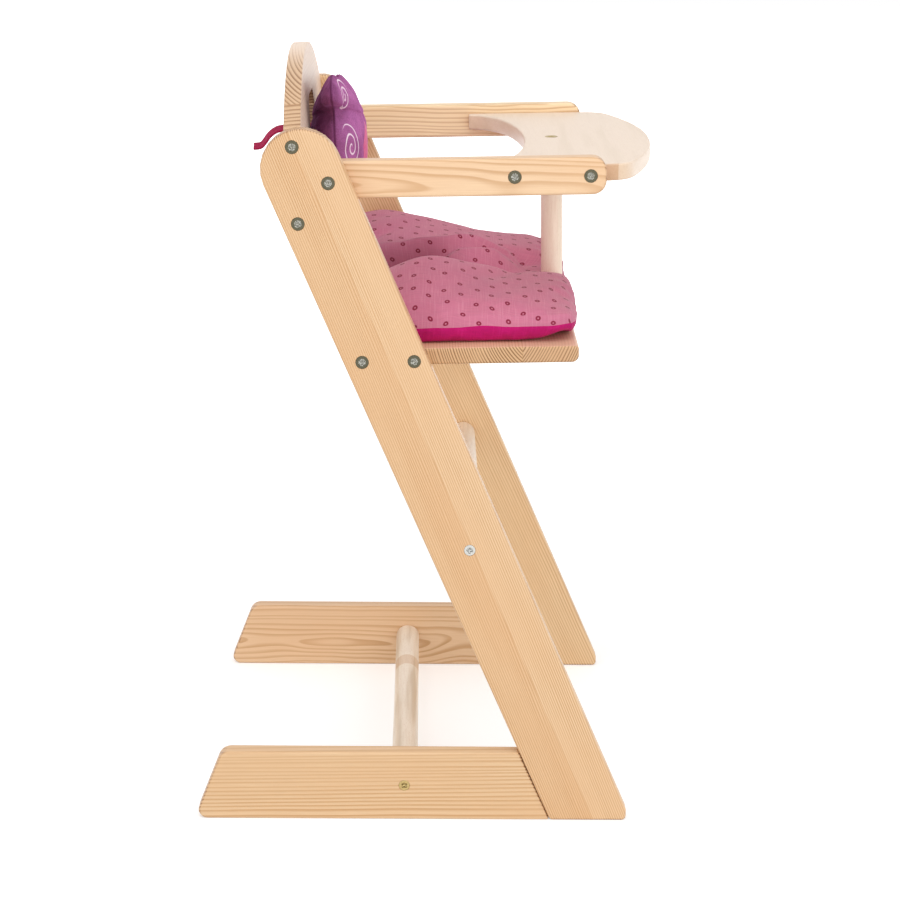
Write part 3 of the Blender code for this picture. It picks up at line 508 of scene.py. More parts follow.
def screw_surface(head, shank, length):
    """One surface from the middle of the head to the tip, on a grid of ring and angle.

    The head is a flat disc less a recess: two crossing arms and a square core, each cut where the
    distance to its line is under half its width, deeper to the middle, with four fine ticks
    between the arms. The shank's radius rises and falls with height over pitch minus angle over a
    full turn, which winds the thread; it shrinks to the tip in a cone. Also gives a mark on the
    centre and the recess walls: wear with a painted highlight on the dark screws, painted shade on
    the others."""
    angle = np.arange(head_turns) * 2 * np.pi / head_turns
    rim = head / 2
    disc = np.linspace(0, 1, head_rings)[:, None] ** 0.8 * (rim - rim_width)
    x, y = disc * np.cos(angle), disc * np.sin(angle)
    reach = rim * arm_reach
    arms = [
        step(arm_half - abs(a), -arm_edge, arm_edge) * step(reach - abs(b), -arm_edge, arm_edge)
        for a, b in ((x, y), (y, x))
    ]
    core = step(reach * 0.52 - (abs(x) + abs(y)) / 2 ** 0.5, -arm_edge, arm_edge)
    inside = np.maximum(np.maximum(*arms), core)
    ticks = step(tick_half - abs(abs(x) - abs(y)) / 2 ** 0.5, -tick_edge, tick_edge)
    ticks = ticks * step(disc, reach * 0.55, reach * 0.62) * step(reach * 1.15 - disc, 0, 0.0001)
    sink = inside * recess_depth * (1 - recess_rise * disc / reach) + ticks * tick_depth
    # Marks the centre and the recess walls: wear and painted highlight on the dark screws, painted
    # shade on the bright and yellow ones.
    wear_and_painted_light = np.maximum(centre_wear_and_light * step(reach * 1.1 - disc, 0, 0.0004), 4 * inside * (1 - inside))
    under = (-head_depth - np.linspace(0, 1, shank_rings) * (length - head_depth))[:, None]
    crest = 1 - abs((under / thread_pitch - angle / (2 * np.pi)) % 1 * 2 - 1)
    grip = thread_height * step(-under, head_depth + 0.002, head_depth + 0.004)
    turned = (shank / 2 - grip + grip * crest ** 1.5) * step(under, -length, -length + tip_length)
    edge = np.full((1, head_turns), rim)
    radius = np.concatenate([np.broadcast_to(disc, x.shape), edge, turned])
    under = np.broadcast_to(under, turned.shape)
    height = np.concatenate([-sink, np.full_like(edge, -rim_drop), under])
    recess_mark = np.concatenate([wear_and_painted_light, np.zeros((1 + shank_rings, head_turns))])
    return np.stack([radius * np.cos(angle), radius * np.sin(angle), height], -1), recess_mark


def steel(name, colour, wear_and_light_colour, roughness):
    """Plated steel: darker in the plating's mottles, and given the recess colour where the wear and
    light mark lies: wear with a painted highlight where that colour is pale, painted shade where
    it is dark.
    """
    finish, shader, place, _ = new_finish(name)
    x, y, z = place.parts()
    mottle = place.noise(x * 1900, y * 1900, z * 1900)
    wear_and_painted_light = place.node("Attribute", {"attribute_name": "wear_and_painted_light"}, {}, 2)
    base = mottle.ramp(0.35, 0.7, 0.0, 0.35).blend(colour, tuple(c * 0.55 for c in colour))
    wear_and_painted_light = wear_and_painted_light * mottle.ramp(0.40, 0.58, 0.15, 1.0)
    roughness = mottle.ramp(0.3, 0.7, roughness, roughness + 0.12)
    coat(shader, wear_and_painted_light.blend(base, wear_and_light_colour), roughness, mottle, 0.15, 0.00005, {"Metallic": 1.0})
    return finish


def drive(node, screw, length, finish, slot, body, turn, out=None):
    """A screw in its place: its head flush with the wood, turned as it was driven. Its outward
    direction is the nearer side of the chair, unless another is given."""
    low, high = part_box(node)
    out = out or Vector((math.copysign(1, (low + high).x), 0, 0))
    top = (low + high) / 2 + out * abs((high - low).dot(out)) / 2
    across = out.orthogonal().normalized()
    points, recess_mark = screw_surface(*screw, length)
    faces = ring_faces(len(points), head_turns)[:, ::-1]
    axes = Matrix((across, out.cross(across), out)).transposed() @ Matrix.Rotation(turn, 3, "Z")
    placed = points.reshape(-1, 3) @ np.array(axes).T + np.array(top)
    piece = put(node + "_steel", placed, faces, finish, body, slot, [node])
    marked(piece, "wear_and_painted_light", recess_mark.ravel())
    close_seams(piece)


big_screw, small_screw = (0.0084, 0.0040), (0.0074, 0.0035)
tray_up = Vector((0, 0.024432, 0.999701))
# The dark zinc's recess colour is pale: wear and painted highlight. The bright and yellow zinc's
# recess colours are dark: painted shade in the recess.
board_steel = steel("dark_zinc_plate", dark_zinc, (0.92, 0.92, 0.86), 0.34)
bright_steel = steel("bright_zinc_plate", bright_zinc, (0.12, 0.12, 0.11), 0.28)
yellow_steel = steel("yellow_zinc_plate", yellow_zinc, (0.15, 0.11, 0.05), 0.30)
board_screws = [
    (f"{place}_{side}", body, length)
    for body, screws in (
        ("frame", (
            ("seat_screw_front", 0.032), ("seat_screw_rear", 0.032),
            ("backrest_screw_lower", 0.032), ("backrest_screw_upper", 0.032),
        )),
        ("tray", (("hinge_screw", 0.022), ("tray_screw_rear", 0.032), ("tray_screw_front", 0.032))),
    )
    for side in ("right", "left")
    for place, length in screws
]
for count, (node, body, length) in enumerate(board_screws):
    turn = 0.35 + count * 1.13
    drive(node, big_screw, length, board_steel, "dark_zinc_steel", body, turn)
for side in ("right", "left"):
    for rail, finish, slot, turn in (
        ("floor_stretcher", yellow_steel, "yellow_zinc_steel", 0.0),
        ("footrest_bar", bright_steel, "bright_zinc_steel", 0.7),
    ):
        drive(f"{rail}_screw_{side}", small_screw, 0.034, finish, slot, "frame", turn)
drive("post_screw", big_screw, 0.032, yellow_steel, "yellow_zinc_steel", "tray", 0.3, tray_up)


# Seat cushion: a cotton case, printed with small rings on top and plain magenta below the seam,
# plumply filled. It is notched for the post, and pinched folds run back from the notch.
seat_origin = np.array((0, -0.0996, 0.3325))
seat_axes = np.array([
    (1, 0, 0),
    (0, math.cos(seat_rake), -math.sin(seat_rake)),
    (0, math.sin(seat_rake), math.cos(seat_rake)),
])
soft_edge = math.radians(170)
cushion_half = 0.124
cushion_front, cushion_rear = -0.001, 0.164
corner_power = 11
notch_depth, notch_half = 0.023, 0.012
side_draw = 0.003
seam_height = 0.0105
front_crown, rear_crown = 0.0235, 0.067
swell_start, swell_power = 0.030, 1.5
low_crown, low_swell, low_place, low_reach = 0.0255, 0.0175, 0.103, 0.036
side_blend = 0.030
far_round, far_power = 3.5, 0.55
sink_share, sink_start, sink_width = 0.62, 0.060, 0.085
crease_depth, near_crease, far_crease, crease_drift = 0.0205, 0.022, 0.028, 0.042
near_fall, far_fall = 2.4, 5.0
edge_rise = 0.0105
notch_dip, notch_dip_place, notch_dip_reach = 0.0098, (-0.010, 0.026), 0.022
lobe_dip, lobe_dip_line, lobe_dip_half = 0.0040, ((-0.014, 0.026), (-0.075, 0.060)), 0.008
corner_lift_reach, corner_rise, corner_lift = 0.022, 0.002, 0.8
seam_wave, long_wave, short_wave = 0.0006, 78, 187
front_pucker, pucker_wave, pucker_reach = 0.0009, 390, 0.013
rim_share, side_bulge, foot_gap = 0.93, 0.0015, 0.0003
across_count, deep_count = 121, 91
valley_shade_place, valley_shade_slant, valley_shade_half, valley_shade_span = (-0.006, 0.115), -0.15, 0.018, (0.060, 0.100)
air_rise = 0.0012
fold_round, fold_join = 0.0015, 0.0016
folds = [
    (0.9, [
        (5, 35, 22.5), (10, 43, 29.5), (12, 52, 37), (8, 62, 38.5), (5, 74, 38.5), (-5, 82, 36),
    ]),
    (1.4, [
        (10, 128, 41.7), (10, 119, 41.8), (10, 104, 45.5), (15, 84, 45.5), (20, 73, 46.2),
        (25, 62, 43.5), (25, 52, 38.5), (24, 42, 32.5), (18, 35, 25), (10, 29, 19),
    ]),
]


def past(value, start, stop):
    """0 up to the start, then rising evenly to 1 at the stop."""
    return np.maximum(0, value - start) / (stop - start)


def bell(distance, reach, power=2):
    """A bell curve of a distance over its reach: e to minus its square, or another power."""
    return np.exp(-(abs(distance) / reach) ** power)


def run_of(points):
    """How far along a line each of its points lies."""
    return np.concatenate([[0], np.cumsum(np.linalg.norm(np.diff(points, axis=0), axis=1))])


def along_curve(points, count):
    """The curve's points spread evenly by length."""
    run = run_of(points)
    places = np.linspace(0, run[-1], count)
    return np.stack([np.interp(places, run, points[:, k]) for k in (0, 1)], -1)


def cushion_side(start, end, count):
    """One side of the seam, between two angles of a rounded square: x and y are the half sizes
    times the cosine and sine to the power 2 over the corner power, with their signs. The front
    side dips in by a bell curve for the notch, and the sides draw in at their middle."""
    angle = np.linspace(start, end, 2400)
    x, y = np.cos(angle), np.sin(angle)
    x, y = (np.sign(a) * abs(a) ** (2 / corner_power) for a in (x, y))
    draw = side_draw * (1 - np.minimum(abs(x), abs(y)) ** 2)
    middle, half_deep = (cushion_front + cushion_rear) / 2, (cushion_rear - cushion_front) / 2
    across = x * cushion_half - np.sign(x) * draw * (abs(x) > abs(y))
    deep = middle + y * half_deep - draw * (y > abs(x))
    deep += notch_depth * bell(across, notch_half, 4) * (y < 0)
    return along_curve(np.stack([across, deep], -1), count)


def spread(count):
    """Numbers from -1 to 1, closer together near both ends."""
    line = np.linspace(-1, 1, count)
    return 0.55 * np.sin(line * np.pi / 2) + 0.45 * line


def even_to(curve, share):
    """The curve's points at those shares of its length, from -1 to 1."""
    places = np.linspace(-1, 1, len(curve))
    return np.stack([np.interp(share, places, curve[:, k]) for k in (0, 1)], -1)


def panel():
    """The cushion's plan as a grid: each point blends the four sides by its two shares, less the
    blend of the four corners, which they all count twice."""
    a, b = spread(across_count), spread(deep_count)
    quarter = np.pi / 4
    front = even_to(cushion_side(-3 * quarter, -quarter, 1200), a)
    rear = even_to(cushion_side(3 * quarter, quarter, 1200), a)
    near = even_to(cushion_side(-3 * quarter, -5 * quarter, 1200), b)
    far = even_to(cushion_side(-quarter, quarter, 1200), b)
    u, v = (a[None, :, None] + 1) / 2, (b[:, None, None] + 1) / 2
    sides = (1 - v) * front[None] + v * rear[None] + (1 - u) * near[:, None] + u * far[:, None]
    corners = (
        (1 - u) * (1 - v) * front[0] + u * (1 - v) * front[-1]
        + (1 - u) * v * rear[0] + u * v * rear[-1]
    )
    return sides - corners, *np.broadcast_arrays(a[None], b[:, None])


def folded(x, y, top):
    """The top with its folds. A fold is a crest line through given points; beside it the cloth
    falls by its slope times the distance to the line, and it joins the top where it meets it."""
    for slope, crest in folds:
        points = np.array(crest) / 1000
        tent = np.full_like(x, -1.0)
        for (x0, y0, z0), (x1, y1, z1) in zip(points[:-1], points[1:]):
            dx, dy = x1 - x0, y1 - y0
            share = np.clip(((x - x0) * dx + (y - y0) * dy) / (dx * dx + dy * dy), 0, 1)
            off = np.hypot(x - x0 - share * dx, y - y0 - share * dy)
            fall = slope * (np.hypot(off, fold_round) - fold_round)
            tent = np.maximum(tent, z0 + share * (z1 - z0) - fall)
        top = (top + tent + np.hypot(top - tent, fold_join) - fold_join / 2) / 2
    return top


def cushion_shape():
    """Top and bottom of the cushion over one plan, and how strongly painted shade darkens each
    point in the crease between the lobes.

    The top rises from the seam as a low upright edge, one less a high power of the share both
    ways, to the power 0.5, and on it a crown: one less the share across squared, times a dome
    from front to rear, less a crease, a dip at the notch and a shallow dip that runs from it
    toward the near side. The far half's crown grows to the rear, less toward its inner side; the
    near half's is low, with a bell curve in the middle. The crease runs back from the notch,
    drifting to the near side, and the folds lie over it. All is lowered a little where the air
    lifts it again. The bottom falls to the seat within its rim, and is lifted by a bell curve of
    the distance to a corner. The seam waves a little, by sines of the way round. The painted shade
    is a bell curve across a slanting line."""
    plan, a, b = panel()
    x, y = plan[..., 0], plan[..., 1]
    notch_end = cushion_front + notch_depth
    swell = past(y, swell_start, cushion_rear) ** swell_power
    high = front_crown + (rear_crown - front_crown) * swell
    behind = past(y, sink_start, cushion_rear)
    high = high * (1 - sink_share * behind * np.clip(1 - x / sink_width, 0, 1))
    low = low_crown + low_swell * bell(y - low_place, low_reach)
    floor_x = -crease_drift * (y - notch_end) / (cushion_rear - notch_end)
    crown = low + (high - low) * step(x - floor_x, -side_blend, side_blend)
    upright = np.sqrt(np.maximum(0, (1 - abs(a) ** 50) * (1 - abs(b) ** 18)))
    rounded_a, rounded_b = (np.maximum(0, 1 - abs(k) ** far_round) ** far_power for k in (a, b))
    dome = np.where(a < 0, 1 - a ** 2, rounded_a) * rounded_b
    off = (x - floor_x) / np.where(x > floor_x, far_crease, near_crease)
    dip = crease_depth * bell(off, 1, np.where(off > 0, far_fall, near_fall))
    dip_x, dip_y = notch_dip_place
    dip += notch_dip * bell(np.hypot(x - dip_x, y - dip_y), notch_dip_reach)
    (x0, y0), (x1, y1) = lobe_dip_line
    run = math.hypot(x1 - x0, y1 - y0)
    place = ((x - x0) * (x1 - x0) + (y - y0) * (y1 - y0)) / run ** 2
    beside = ((x - x0) * (y1 - y0) - (y - y0) * (x1 - x0)) / run
    dip += lobe_dip * np.sin(np.clip(place, 0, 1) * np.pi) * bell(beside, lobe_dip_half)
    end_gap = np.minimum(y - cushion_front, cushion_rear - y)
    corner = bell(np.hypot(cushion_half - abs(x), end_gap), corner_lift_reach)
    wave = np.sin((x + y) * long_wave) + np.sin((x + y) * short_wave) / 2
    seam = seam_height + corner_rise * corner + seam_wave * wave
    pucker = np.sin(x * pucker_wave + np.sin(x * 90)) * bell(y - cushion_front, pucker_reach)
    share = np.maximum(abs(a), abs(b))
    top = seam + edge_rise * upright + dome * np.maximum(0, crown - dip - edge_rise)
    top = top + front_pucker * pucker * dome ** 0.4
    top = np.where(share < 0.98, folded(x, y, top), top) - air_rise * dome ** 0.5
    # Painted shade: a bell curve across a slanting line marks the deep crease between the lobes,
    # where the print is darkened.
    beside = x - valley_shade_place[0] - (y - valley_shade_place[1]) * valley_shade_slant
    valley_shade = bell(beside, valley_shade_half) * step(y, *valley_shade_span)
    rise = past(share, rim_share, 1)
    bulge = side_bulge * np.sin(np.clip(rise, 0, 1) * np.pi)
    foot = foot_gap + (seam - foot_gap) * (1 - (1 - rise ** 1.7) * (1 - corner_lift * corner))
    foot = np.concatenate([plan * (1 + bulge[..., None] / cushion_half), foot[..., None]], -1)
    return np.stack([x, y, top], -1), foot, valley_shade


def plumped(piece, held, pressure, slack, cap, frames=20):
    """Cloth under air pressure for some frames; held points stay, and no point moves further than
    the cap. The result goes into the mesh, so no cloth is left on the piece."""
    start = corner_places(piece.data)
    group = piece.vertex_groups.new(name="held")
    group.add(np.flatnonzero(held).tolist(), 1.0, "REPLACE")
    cloth = piece.modifiers.new("plump", "CLOTH")
    cloth.settings.vertex_group_mass = "held"
    cloth.settings.use_pressure = True
    cloth.settings.uniform_pressure_force = pressure
    cloth.settings.shrink_min = -slack
    cloth.settings.quality = 6
    cloth.settings.mass = 0.2
    cloth.settings.bending_stiffness = 0.05
    cloth.settings.effector_weights.gravity = 0
    cloth.collision_settings.use_collision = False
    cloth.point_cache.frame_end = frames
    for moment in range(1, frames + 1):
        scene.frame_set(moment)
    evaluated = piece.evaluated_get(bpy.context.evaluated_depsgraph_get())
    move = corner_places(evaluated.data) - start
    scene.frame_set(1)
    piece.modifiers.remove(cloth)
    piece.vertex_groups.remove(group)
    length = np.linalg.norm(move, axis=1, keepdims=True) + 1e-12
    move *= cap * np.tanh(length / cap) / length
    piece.data.vertices.foreach_set("co", (start + move).ravel())
    piece.data.update()


def rounded(piece):
    """Halves a soft piece's mesh once more, in the view as in the render."""
    rounder = piece.modifiers.new("round", "SUBSURF")
    rounder.levels = rounder.render_levels = 1


def thread_places(grid):
    """Where each point of a grid lies on the flat cloth: lengths along the rows in their own
    plane, and along the columns, both counted from the middle."""
    side, deep = np.diff(grid, axis=1), np.diff(grid, axis=0)
    u = np.cumsum(np.hypot(side[..., 0], side[..., 2]), axis=1)
    v = np.cumsum(np.hypot(deep[..., 1], deep[..., 2]), axis=0)
    u, v = np.pad(u, ((0, 0), (1, 0))), np.pad(v, ((1, 0), (0, 0)))
    middle_row, middle_column = (size // 2 for size in u.shape)
    u, v = u - u[:, middle_column, None], v - v[middle_row]
    return np.stack([u, v], -1).reshape(-1, 2)


def grid_faces(index):
    """Quads between the neighbouring points of a grid, facing the way it turns."""
    corners = [index[:-1, :-1], index[:-1, 1:], index[1:, 1:], index[1:, :-1]]
    return np.stack(corners, -1).reshape(-1, 4)


top_points, foot_points, valley_shade = cushion_shape()
top_index = numbered(deep_count, across_count)
foot_index = top_index.copy()
inner = (slice(1, -1), slice(1, -1))
inner_count = foot_index[inner].size
foot_index[inner] = top_index.size + numbered(deep_count - 2, across_count - 2)
top_faces, foot_faces = grid_faces(top_index), grid_faces(foot_index)[:, ::-1]
shell = np.concatenate([top_points.reshape(-1, 3), foot_points[inner].reshape(-1, 3)])
shell = shell @ seat_axes + seat_origin

cushion_ground = (0.62, 0.190, 0.290)
cushion_dusty = (0.50, 0.155, 0.250)
cushion_light = (0.72, 0.31, 0.40)
ring_red = (0.22, 0.004, 0.03)
magenta = (0.52, 0.006, 0.145)
ring_step, ring_stray = 0.0165, 0.30
row_step = ring_step * 0.62
ring_radius, ring_line = 0.00115, 0.00054
# Painted shade for the print in the deep crease between the lobes.
painted_valley_shade = (0.50, 0.40, 0.42)
thread_gap = 0.0006


def cotton_look(name, ground, dusty, light, printed):
    """Woven cotton: a plain weave, the sines of both ways multiplied, threads of slightly
    different dye both ways and, where it is printed, small rings. Rows of rings are half a step
    apart and each ring sits a little off its place; a ring is where the distance to it is near
    the ring's radius. The printed cotton is darkened by painted shade in the deep crease between
    the lobes."""
    finish, shader, place, _ = new_finish(name)
    cloth = place.node("UVMap", {"uv_map": "cloth"}, {})
    u, v, _ = cloth.parts()
    warp = cloth.noise(u * 1100, v * 60, 3.0)
    weft = cloth.noise(u * 60, v * 1100, 9.0)
    cloudy = cloth.noise(u * 22, v * 22, 5.0)
    colour = warp.ramp(0.30, 0.70, 0.0, 0.45).blend(ground, dusty)
    colour = weft.ramp(0.45, 0.75, 0.0, 0.40).blend(colour, light)
    colour = cloudy.ramp(0.35, 0.7, 0.0, 0.25).blend(colour, dusty)
    if printed:
        row = (v / row_step).whole()
        shift = (row * 0.5).fraction() + row * 0.137
        column = (u / ring_step + shift).whole()
        cell = {"Vector": cloth.point(column, row, 0.0)}
        jitter = cloth.node("TexWhiteNoise", {}, cell, 1).parts()
        du = (u / ring_step + shift - column - 0.5 + (jitter[0] - 0.5) * ring_stray) * ring_step
        dv = (v / row_step - row - 0.5 + (jitter[1] - 0.5) * ring_stray) * row_step
        away = abs((du * du + dv * dv) ** 0.5 - ring_radius)
        colour = away.ramp(ring_line * 0.7, ring_line * 1.5, 0.92, 0.0).blend(colour, ring_red)
        # Painted shade: the print is darkened where the cushion's mark says the crease lies deep.
        deep = place.node("Attribute", {"attribute_name": "valley_shade"}, {}, 2)
        colour = colour.tinted(painted_valley_shade, deep)
    warp_wave, weft_wave = (k.math("SINE", k * (math.pi / thread_gap)) for k in (u, v))
    relief = warp_wave * weft_wave * 0.5 + warp + weft
    coat(shader, colour, 0.88, relief, 0.35, 0.0003, {
        "Specular IOR Level": 0.2, "Sheen Weight": 0.2 if printed else 0.05,
        "Sheen Roughness": 0.5,
    })
    return finish


ring_cotton = cotton_look("pink_ring_cotton", cushion_ground, cushion_dusty, cushion_light, True)
plain_magenta = cotton_look(
    "magenta_cotton", magenta, tuple(c * 0.75 for c in magenta), (0.62, 0.018, 0.20), False
)
cushion = put(
    "seat_cushion_cotton", shell, np.concatenate([top_faces, foot_faces]), ring_cotton,
    "frame", "pink_ring_cotton", ["seat_cushion"], soft_edge,
)
cushion.data.materials.append(plain_magenta)
marked(cushion, "valley_shade", np.concatenate([valley_shade.ravel(), np.zeros(inner_count)]))
below = np.repeat((0, 1), (len(top_faces), len(foot_faces)))
cushion.data.polygons.foreach_set("material_index", below)
edge = np.ones(top_index.shape, bool)
edge[inner] = False
on_seat = foot_points[inner][..., 2].ravel() < 0.001
plumped(cushion, np.concatenate([edge.ravel(), on_seat]), 4.0, 0.03, 0.0016)

settled = (corner_places(cushion.data) - seat_origin) @ seat_axes.T
cloth_map = cushion.data.uv_layers.new(name="cloth")
cloth_map.data.foreach_set("uv", np.concatenate([
    thread_places(settled[top_index])[top_faces.ravel()],
    thread_places(settled[foot_index])[grid_faces(top_index)[:, ::-1].ravel()],
]).ravel())
rounded(cushion)


# Butterfly cushion: two velour wings, each an upper and a lower lobe, stuffed and drawn in along
# the body and at the waist, with pale swirls. It leans on the backrest, a little askew.
backrest_origin = Vector((0, 0.080, 0.399))
wing_mid, wing_rise, wing_drop = 0.06916, 0.0192, 0.064
wing_half_span = 0.075
wing_thickness = 0.040
wing_plane = 0.023173
wing_tilt = math.radians(-7)
wing_rings, wing_turns = 30, 168
wing_dome, wing_taper, wing_pucker, wing_lump = 0.62, 0.44, 0.03, 0.045
body_share, waist_share, drawn_reach = 0.58, 0.16, 0.013
outline_shares = np.array([
    (0.00, 0.62), (0.33, 0.95), (0.68, 1.00), (0.97, 0.66), (0.97, 0.14), (0.72, -0.08),
    (0.86, -0.34), (0.82, -0.68), (0.54, -0.96), (0.24, -0.90), (0.00, -0.72),
])
notch_x, notch_y = 0.055, 0.0640
wing_creases = [
    (-0.995, 0.10, 0.034, 0.24, 0.0042), (-0.50, 0.866, 0.018, 0.20, 0.0032),
    (-0.77, -0.64, 0.024, 0.17, 0.0036), (-0.17, -0.985, 0.030, 0.12, 0.0040),
]
# Deep purple: the pile's own dark tone, and painted shade on the wings' back and along the seam.
purple_deep_and_shade = (0.075, 0.010, 0.045)
purple_mid = (0.55, 0.175, 0.45)
purple_sheen = (0.60, 0.20, 0.50, 1.0)
swirl_pale = (0.93, 0.74, 0.86)
swirls = [
    ((0.043, 0.0745), 0.0110, 1.0, 0.15), ((0.044, 0.041), 0.0150, -1.0, 0.55),
    ((0.030, 0.021), 0.0095, 1.0, 0.3),
]

backrest_axes = Matrix((
    (1, 0, 0),
    (0, math.sin(backrest_lean), -math.cos(backrest_lean)),
    (0, math.cos(backrest_lean), math.sin(backrest_lean)),
)).to_4x4()
wing_place = (
    Matrix.Translation(backrest_origin) @ backrest_axes
    @ Matrix.Translation((0, wing_mid, wing_plane)) @ Matrix.Rotation(wing_tilt, 4, "Z")
    @ Matrix.Translation((0, -wing_mid, 0))
)


def smooth(points, places):
    """A smooth curve through a ring of points, at places counted in points: each stretch is the
    cubic that leaves and arrives along the line between the neighbours."""
    start = places.astype(int)
    t = (places - start)[:, None]
    a, b, c, d = (points[(start + k) % len(points)] for k in (-1, 0, 1, 2))
    bend, twist = 2 * a - 5 * b + 4 * c - d, 3 * b - 3 * c + d - a
    return b + ((c - a) * t + bend * t ** 2 + twist * t ** 3) / 2


def wing_outline():
    """The wings' seam, the right half mirrored on the left."""
    reach = np.where(outline_shares[:, 1] > 0, wing_rise, wing_drop)
    half = outline_shares * np.stack([reach * 0 + wing_half_span, reach], -1) + (0, wing_mid)
    seam = np.concatenate([half, half[1:-1][::-1] * (-1, 1)])
    return smooth(seam, np.linspace(0, len(seam), wing_turns, endpoint=False))


def wing_shape():
    """Front and back of the wings, on rings from the middle to the seam. Half the thickness is a
    dome, one less the share squared, to a power, drawn in by bell curves along the body and at
    the waist, by creases that run in from the notch between the lobes and fade, by fine puckers
    that run in from the seam, and thinner to the top. A product of two sines makes it lumpy."""
    seam = wing_outline()
    middle = np.array((0, wing_mid - 0.16 * wing_drop))
    share = np.sin(np.linspace(0, 1, wing_rings)[:, None] * np.pi / 2) ** 0.9
    plan = middle + (seam - middle) * share[..., None]
    x, y = plan[..., 0], plan[..., 1]
    half = wing_thickness / 2 * (1 - share ** 2) ** wing_dome
    half = half * (1 - body_share * bell(x, drawn_reach))
    beside = np.minimum(1, abs(x) / wing_half_span)
    half = half * (1 - waist_share * beside * bell(y - wing_mid, drawn_reach))
    for dx, dy, reach, depth, width in wing_creases:
        place = (abs(x) - notch_x) * dx + (y - notch_y) * dy
        off = (abs(x) - notch_x) * dy - (y - notch_y) * dx
        fade = step(place, -0.006, 0) * (1 - step(place, 0, reach))
        half = half * (1 - depth * fade * bell(off, width, 1.5))
    upward = past(y, middle[1], wing_mid + wing_rise)
    angle = np.arange(wing_turns) * 2 * np.pi / wing_turns
    pucker = wing_pucker * share ** 3 * (np.sin(angle * 23) + np.sin(angle * 37 + 1))
    lump = wing_lump * np.sin(abs(x) * 170 + y * 95) * np.sin(y * 210 - x * 60 + 1)
    half = half * (1 - wing_taper * upward) * (1 - pucker) * (1 + lump)
    return np.stack([x, y, half], -1), np.stack([x, y, -half], -1)


def velour(name):
    """Short-pile velour: brushed patches from deep to middle purple, a soft sheen, and pale
    swirls. The back of the wings is painted deep, partly the pile's own dark tone and partly
    painted shade, and the seam line is painted dark as shade in its groove. A swirl is a spiral
    round its own
    middle: the line lies where the distance over the gap between turns, less the angle over a full
    turn, is a whole number."""
    finish, shader, place, _ = new_finish(name)
    x, y, z = own_place(place, wing_place, wing_place.translation)
    pile = place.noise(x * 1300, y * 1300, z * 1300)
    brushed = place.noise(x * 50, y * 50, z * 50, 3.0)
    # Painted shade, together with the pile's dark tone: the back of the wings is deep purple, the
    # front middle purple.
    front = z.ramp(-0.014, 0.012)
    colour = (front * brushed.ramp(0.3, 0.65, 0.55, 1.0)).blend(purple_deep_and_shade, purple_mid)
    colour = pile.ramp(0.35, 0.7, 0.0, 0.35).blend(colour, purple_deep_and_shade)
    # Painted shade along the seam, where front and back meet in a groove.
    colour = abs(z).ramp(0.0002, 0.0012, 0.75, 0.0).blend(colour, purple_deep_and_shade)
    side = abs(x) - z * 0.9
    for centre, radius, hand, start in swirls:
        dx, dy = side - centre[0], y - centre[1]
        far = (dx * dx + dy * dy) ** 0.5
        around = dy.math("ARCTAN2", dy, dx) * (hand / (2 * math.pi))
        gap = radius / 2.2
        turns = (far / gap - around + start + 10.5).fraction() - 0.5
        line = (abs(turns) * gap).ramp(0.0004, 0.0009, 1.0, 0.0)
        line = line * far.ramp(radius, radius + 0.0003, 1.0, 0.0)
        colour = (line * z.ramp(-0.004, 0.002) * (pile * 0.3 + 0.80)).blend(colour, swirl_pale)
    coat(shader, colour, 0.95, pile + brushed * 0.5, 0.5, 0.0006, {
        "Specular IOR Level": 0.1, "Sheen Weight": 0.45, "Sheen Roughness": 0.35,
        "Sheen Tint": purple_sheen,
    })
    return finish


def closed_piece(name, surfaces, finish, slot, node, place):
    """A closed soft piece from its ring surfaces, its poles and seam merged and faces outwards."""
    points = np.concatenate([surface.reshape(-1, 3) for surface in surfaces])
    turned = points @ np.array(place.to_3x3()).T + np.array(place.translation)
    rows, turns = surfaces[0].shape[:2]
    faces = [ring_faces(rows, turns) + k * rows * turns for k in range(len(surfaces))]
    piece = put(name, turned, np.concatenate(faces), finish, "frame", slot, [node], soft_edge)
    close_seams(piece)
    return piece


wings = closed_piece(
    "butterfly_wings_velour", wing_shape(), velour("purple_velour"), "purple_velour",
    "butterfly_wings", wing_place,
)
to_wing = np.array(wing_place.inverted())
flat = corner_places(wings.data) @ to_wing[:3, :3].T + to_wing[:3, 3]
still = (abs(flat[:, 2]) < 0.0006) | (abs(flat[:, 0]) < 0.004) | (flat[:, 2] < -0.014)
plumped(wings, still, 3.0, 0.02, 0.0012)
rounded(wings)


# Butterfly's body: a slim roll of pink cotton, gathered at both ends, sewn into the crease
# between the wings.
body_half, body_radius = 0.020, 0.0055
body_rings, body_turns = 40, 48
body_low, body_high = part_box("butterfly_body")
body_axis = Vector((math.sin(-wing_tilt), 0, 1)).normalized()
pink_body = (0.72, 0.14, 0.30)
pink_light = (0.80, 0.24, 0.40)


def roll_shape():
    """The roll on a grid of place and angle: its radius is the square root of the sine of the
    place, less small gathers that fade away from both ends."""
    row = np.linspace(0, np.pi, body_rings)[:, None]
    angle = np.arange(body_turns)[None] * 2 * np.pi / body_turns
    gather = 0.05 * abs(np.cos(row)) ** 3 * np.sin(angle * 12) + 0.02 * np.sin(row * 9 + angle * 2)
    radius = body_radius * np.sqrt(np.maximum(np.sin(row), 0)) * (1 - gather)
    height = body_half * np.cos(row) + angle * 0
    return np.stack([radius * np.cos(angle), radius * np.sin(angle), height], -1)


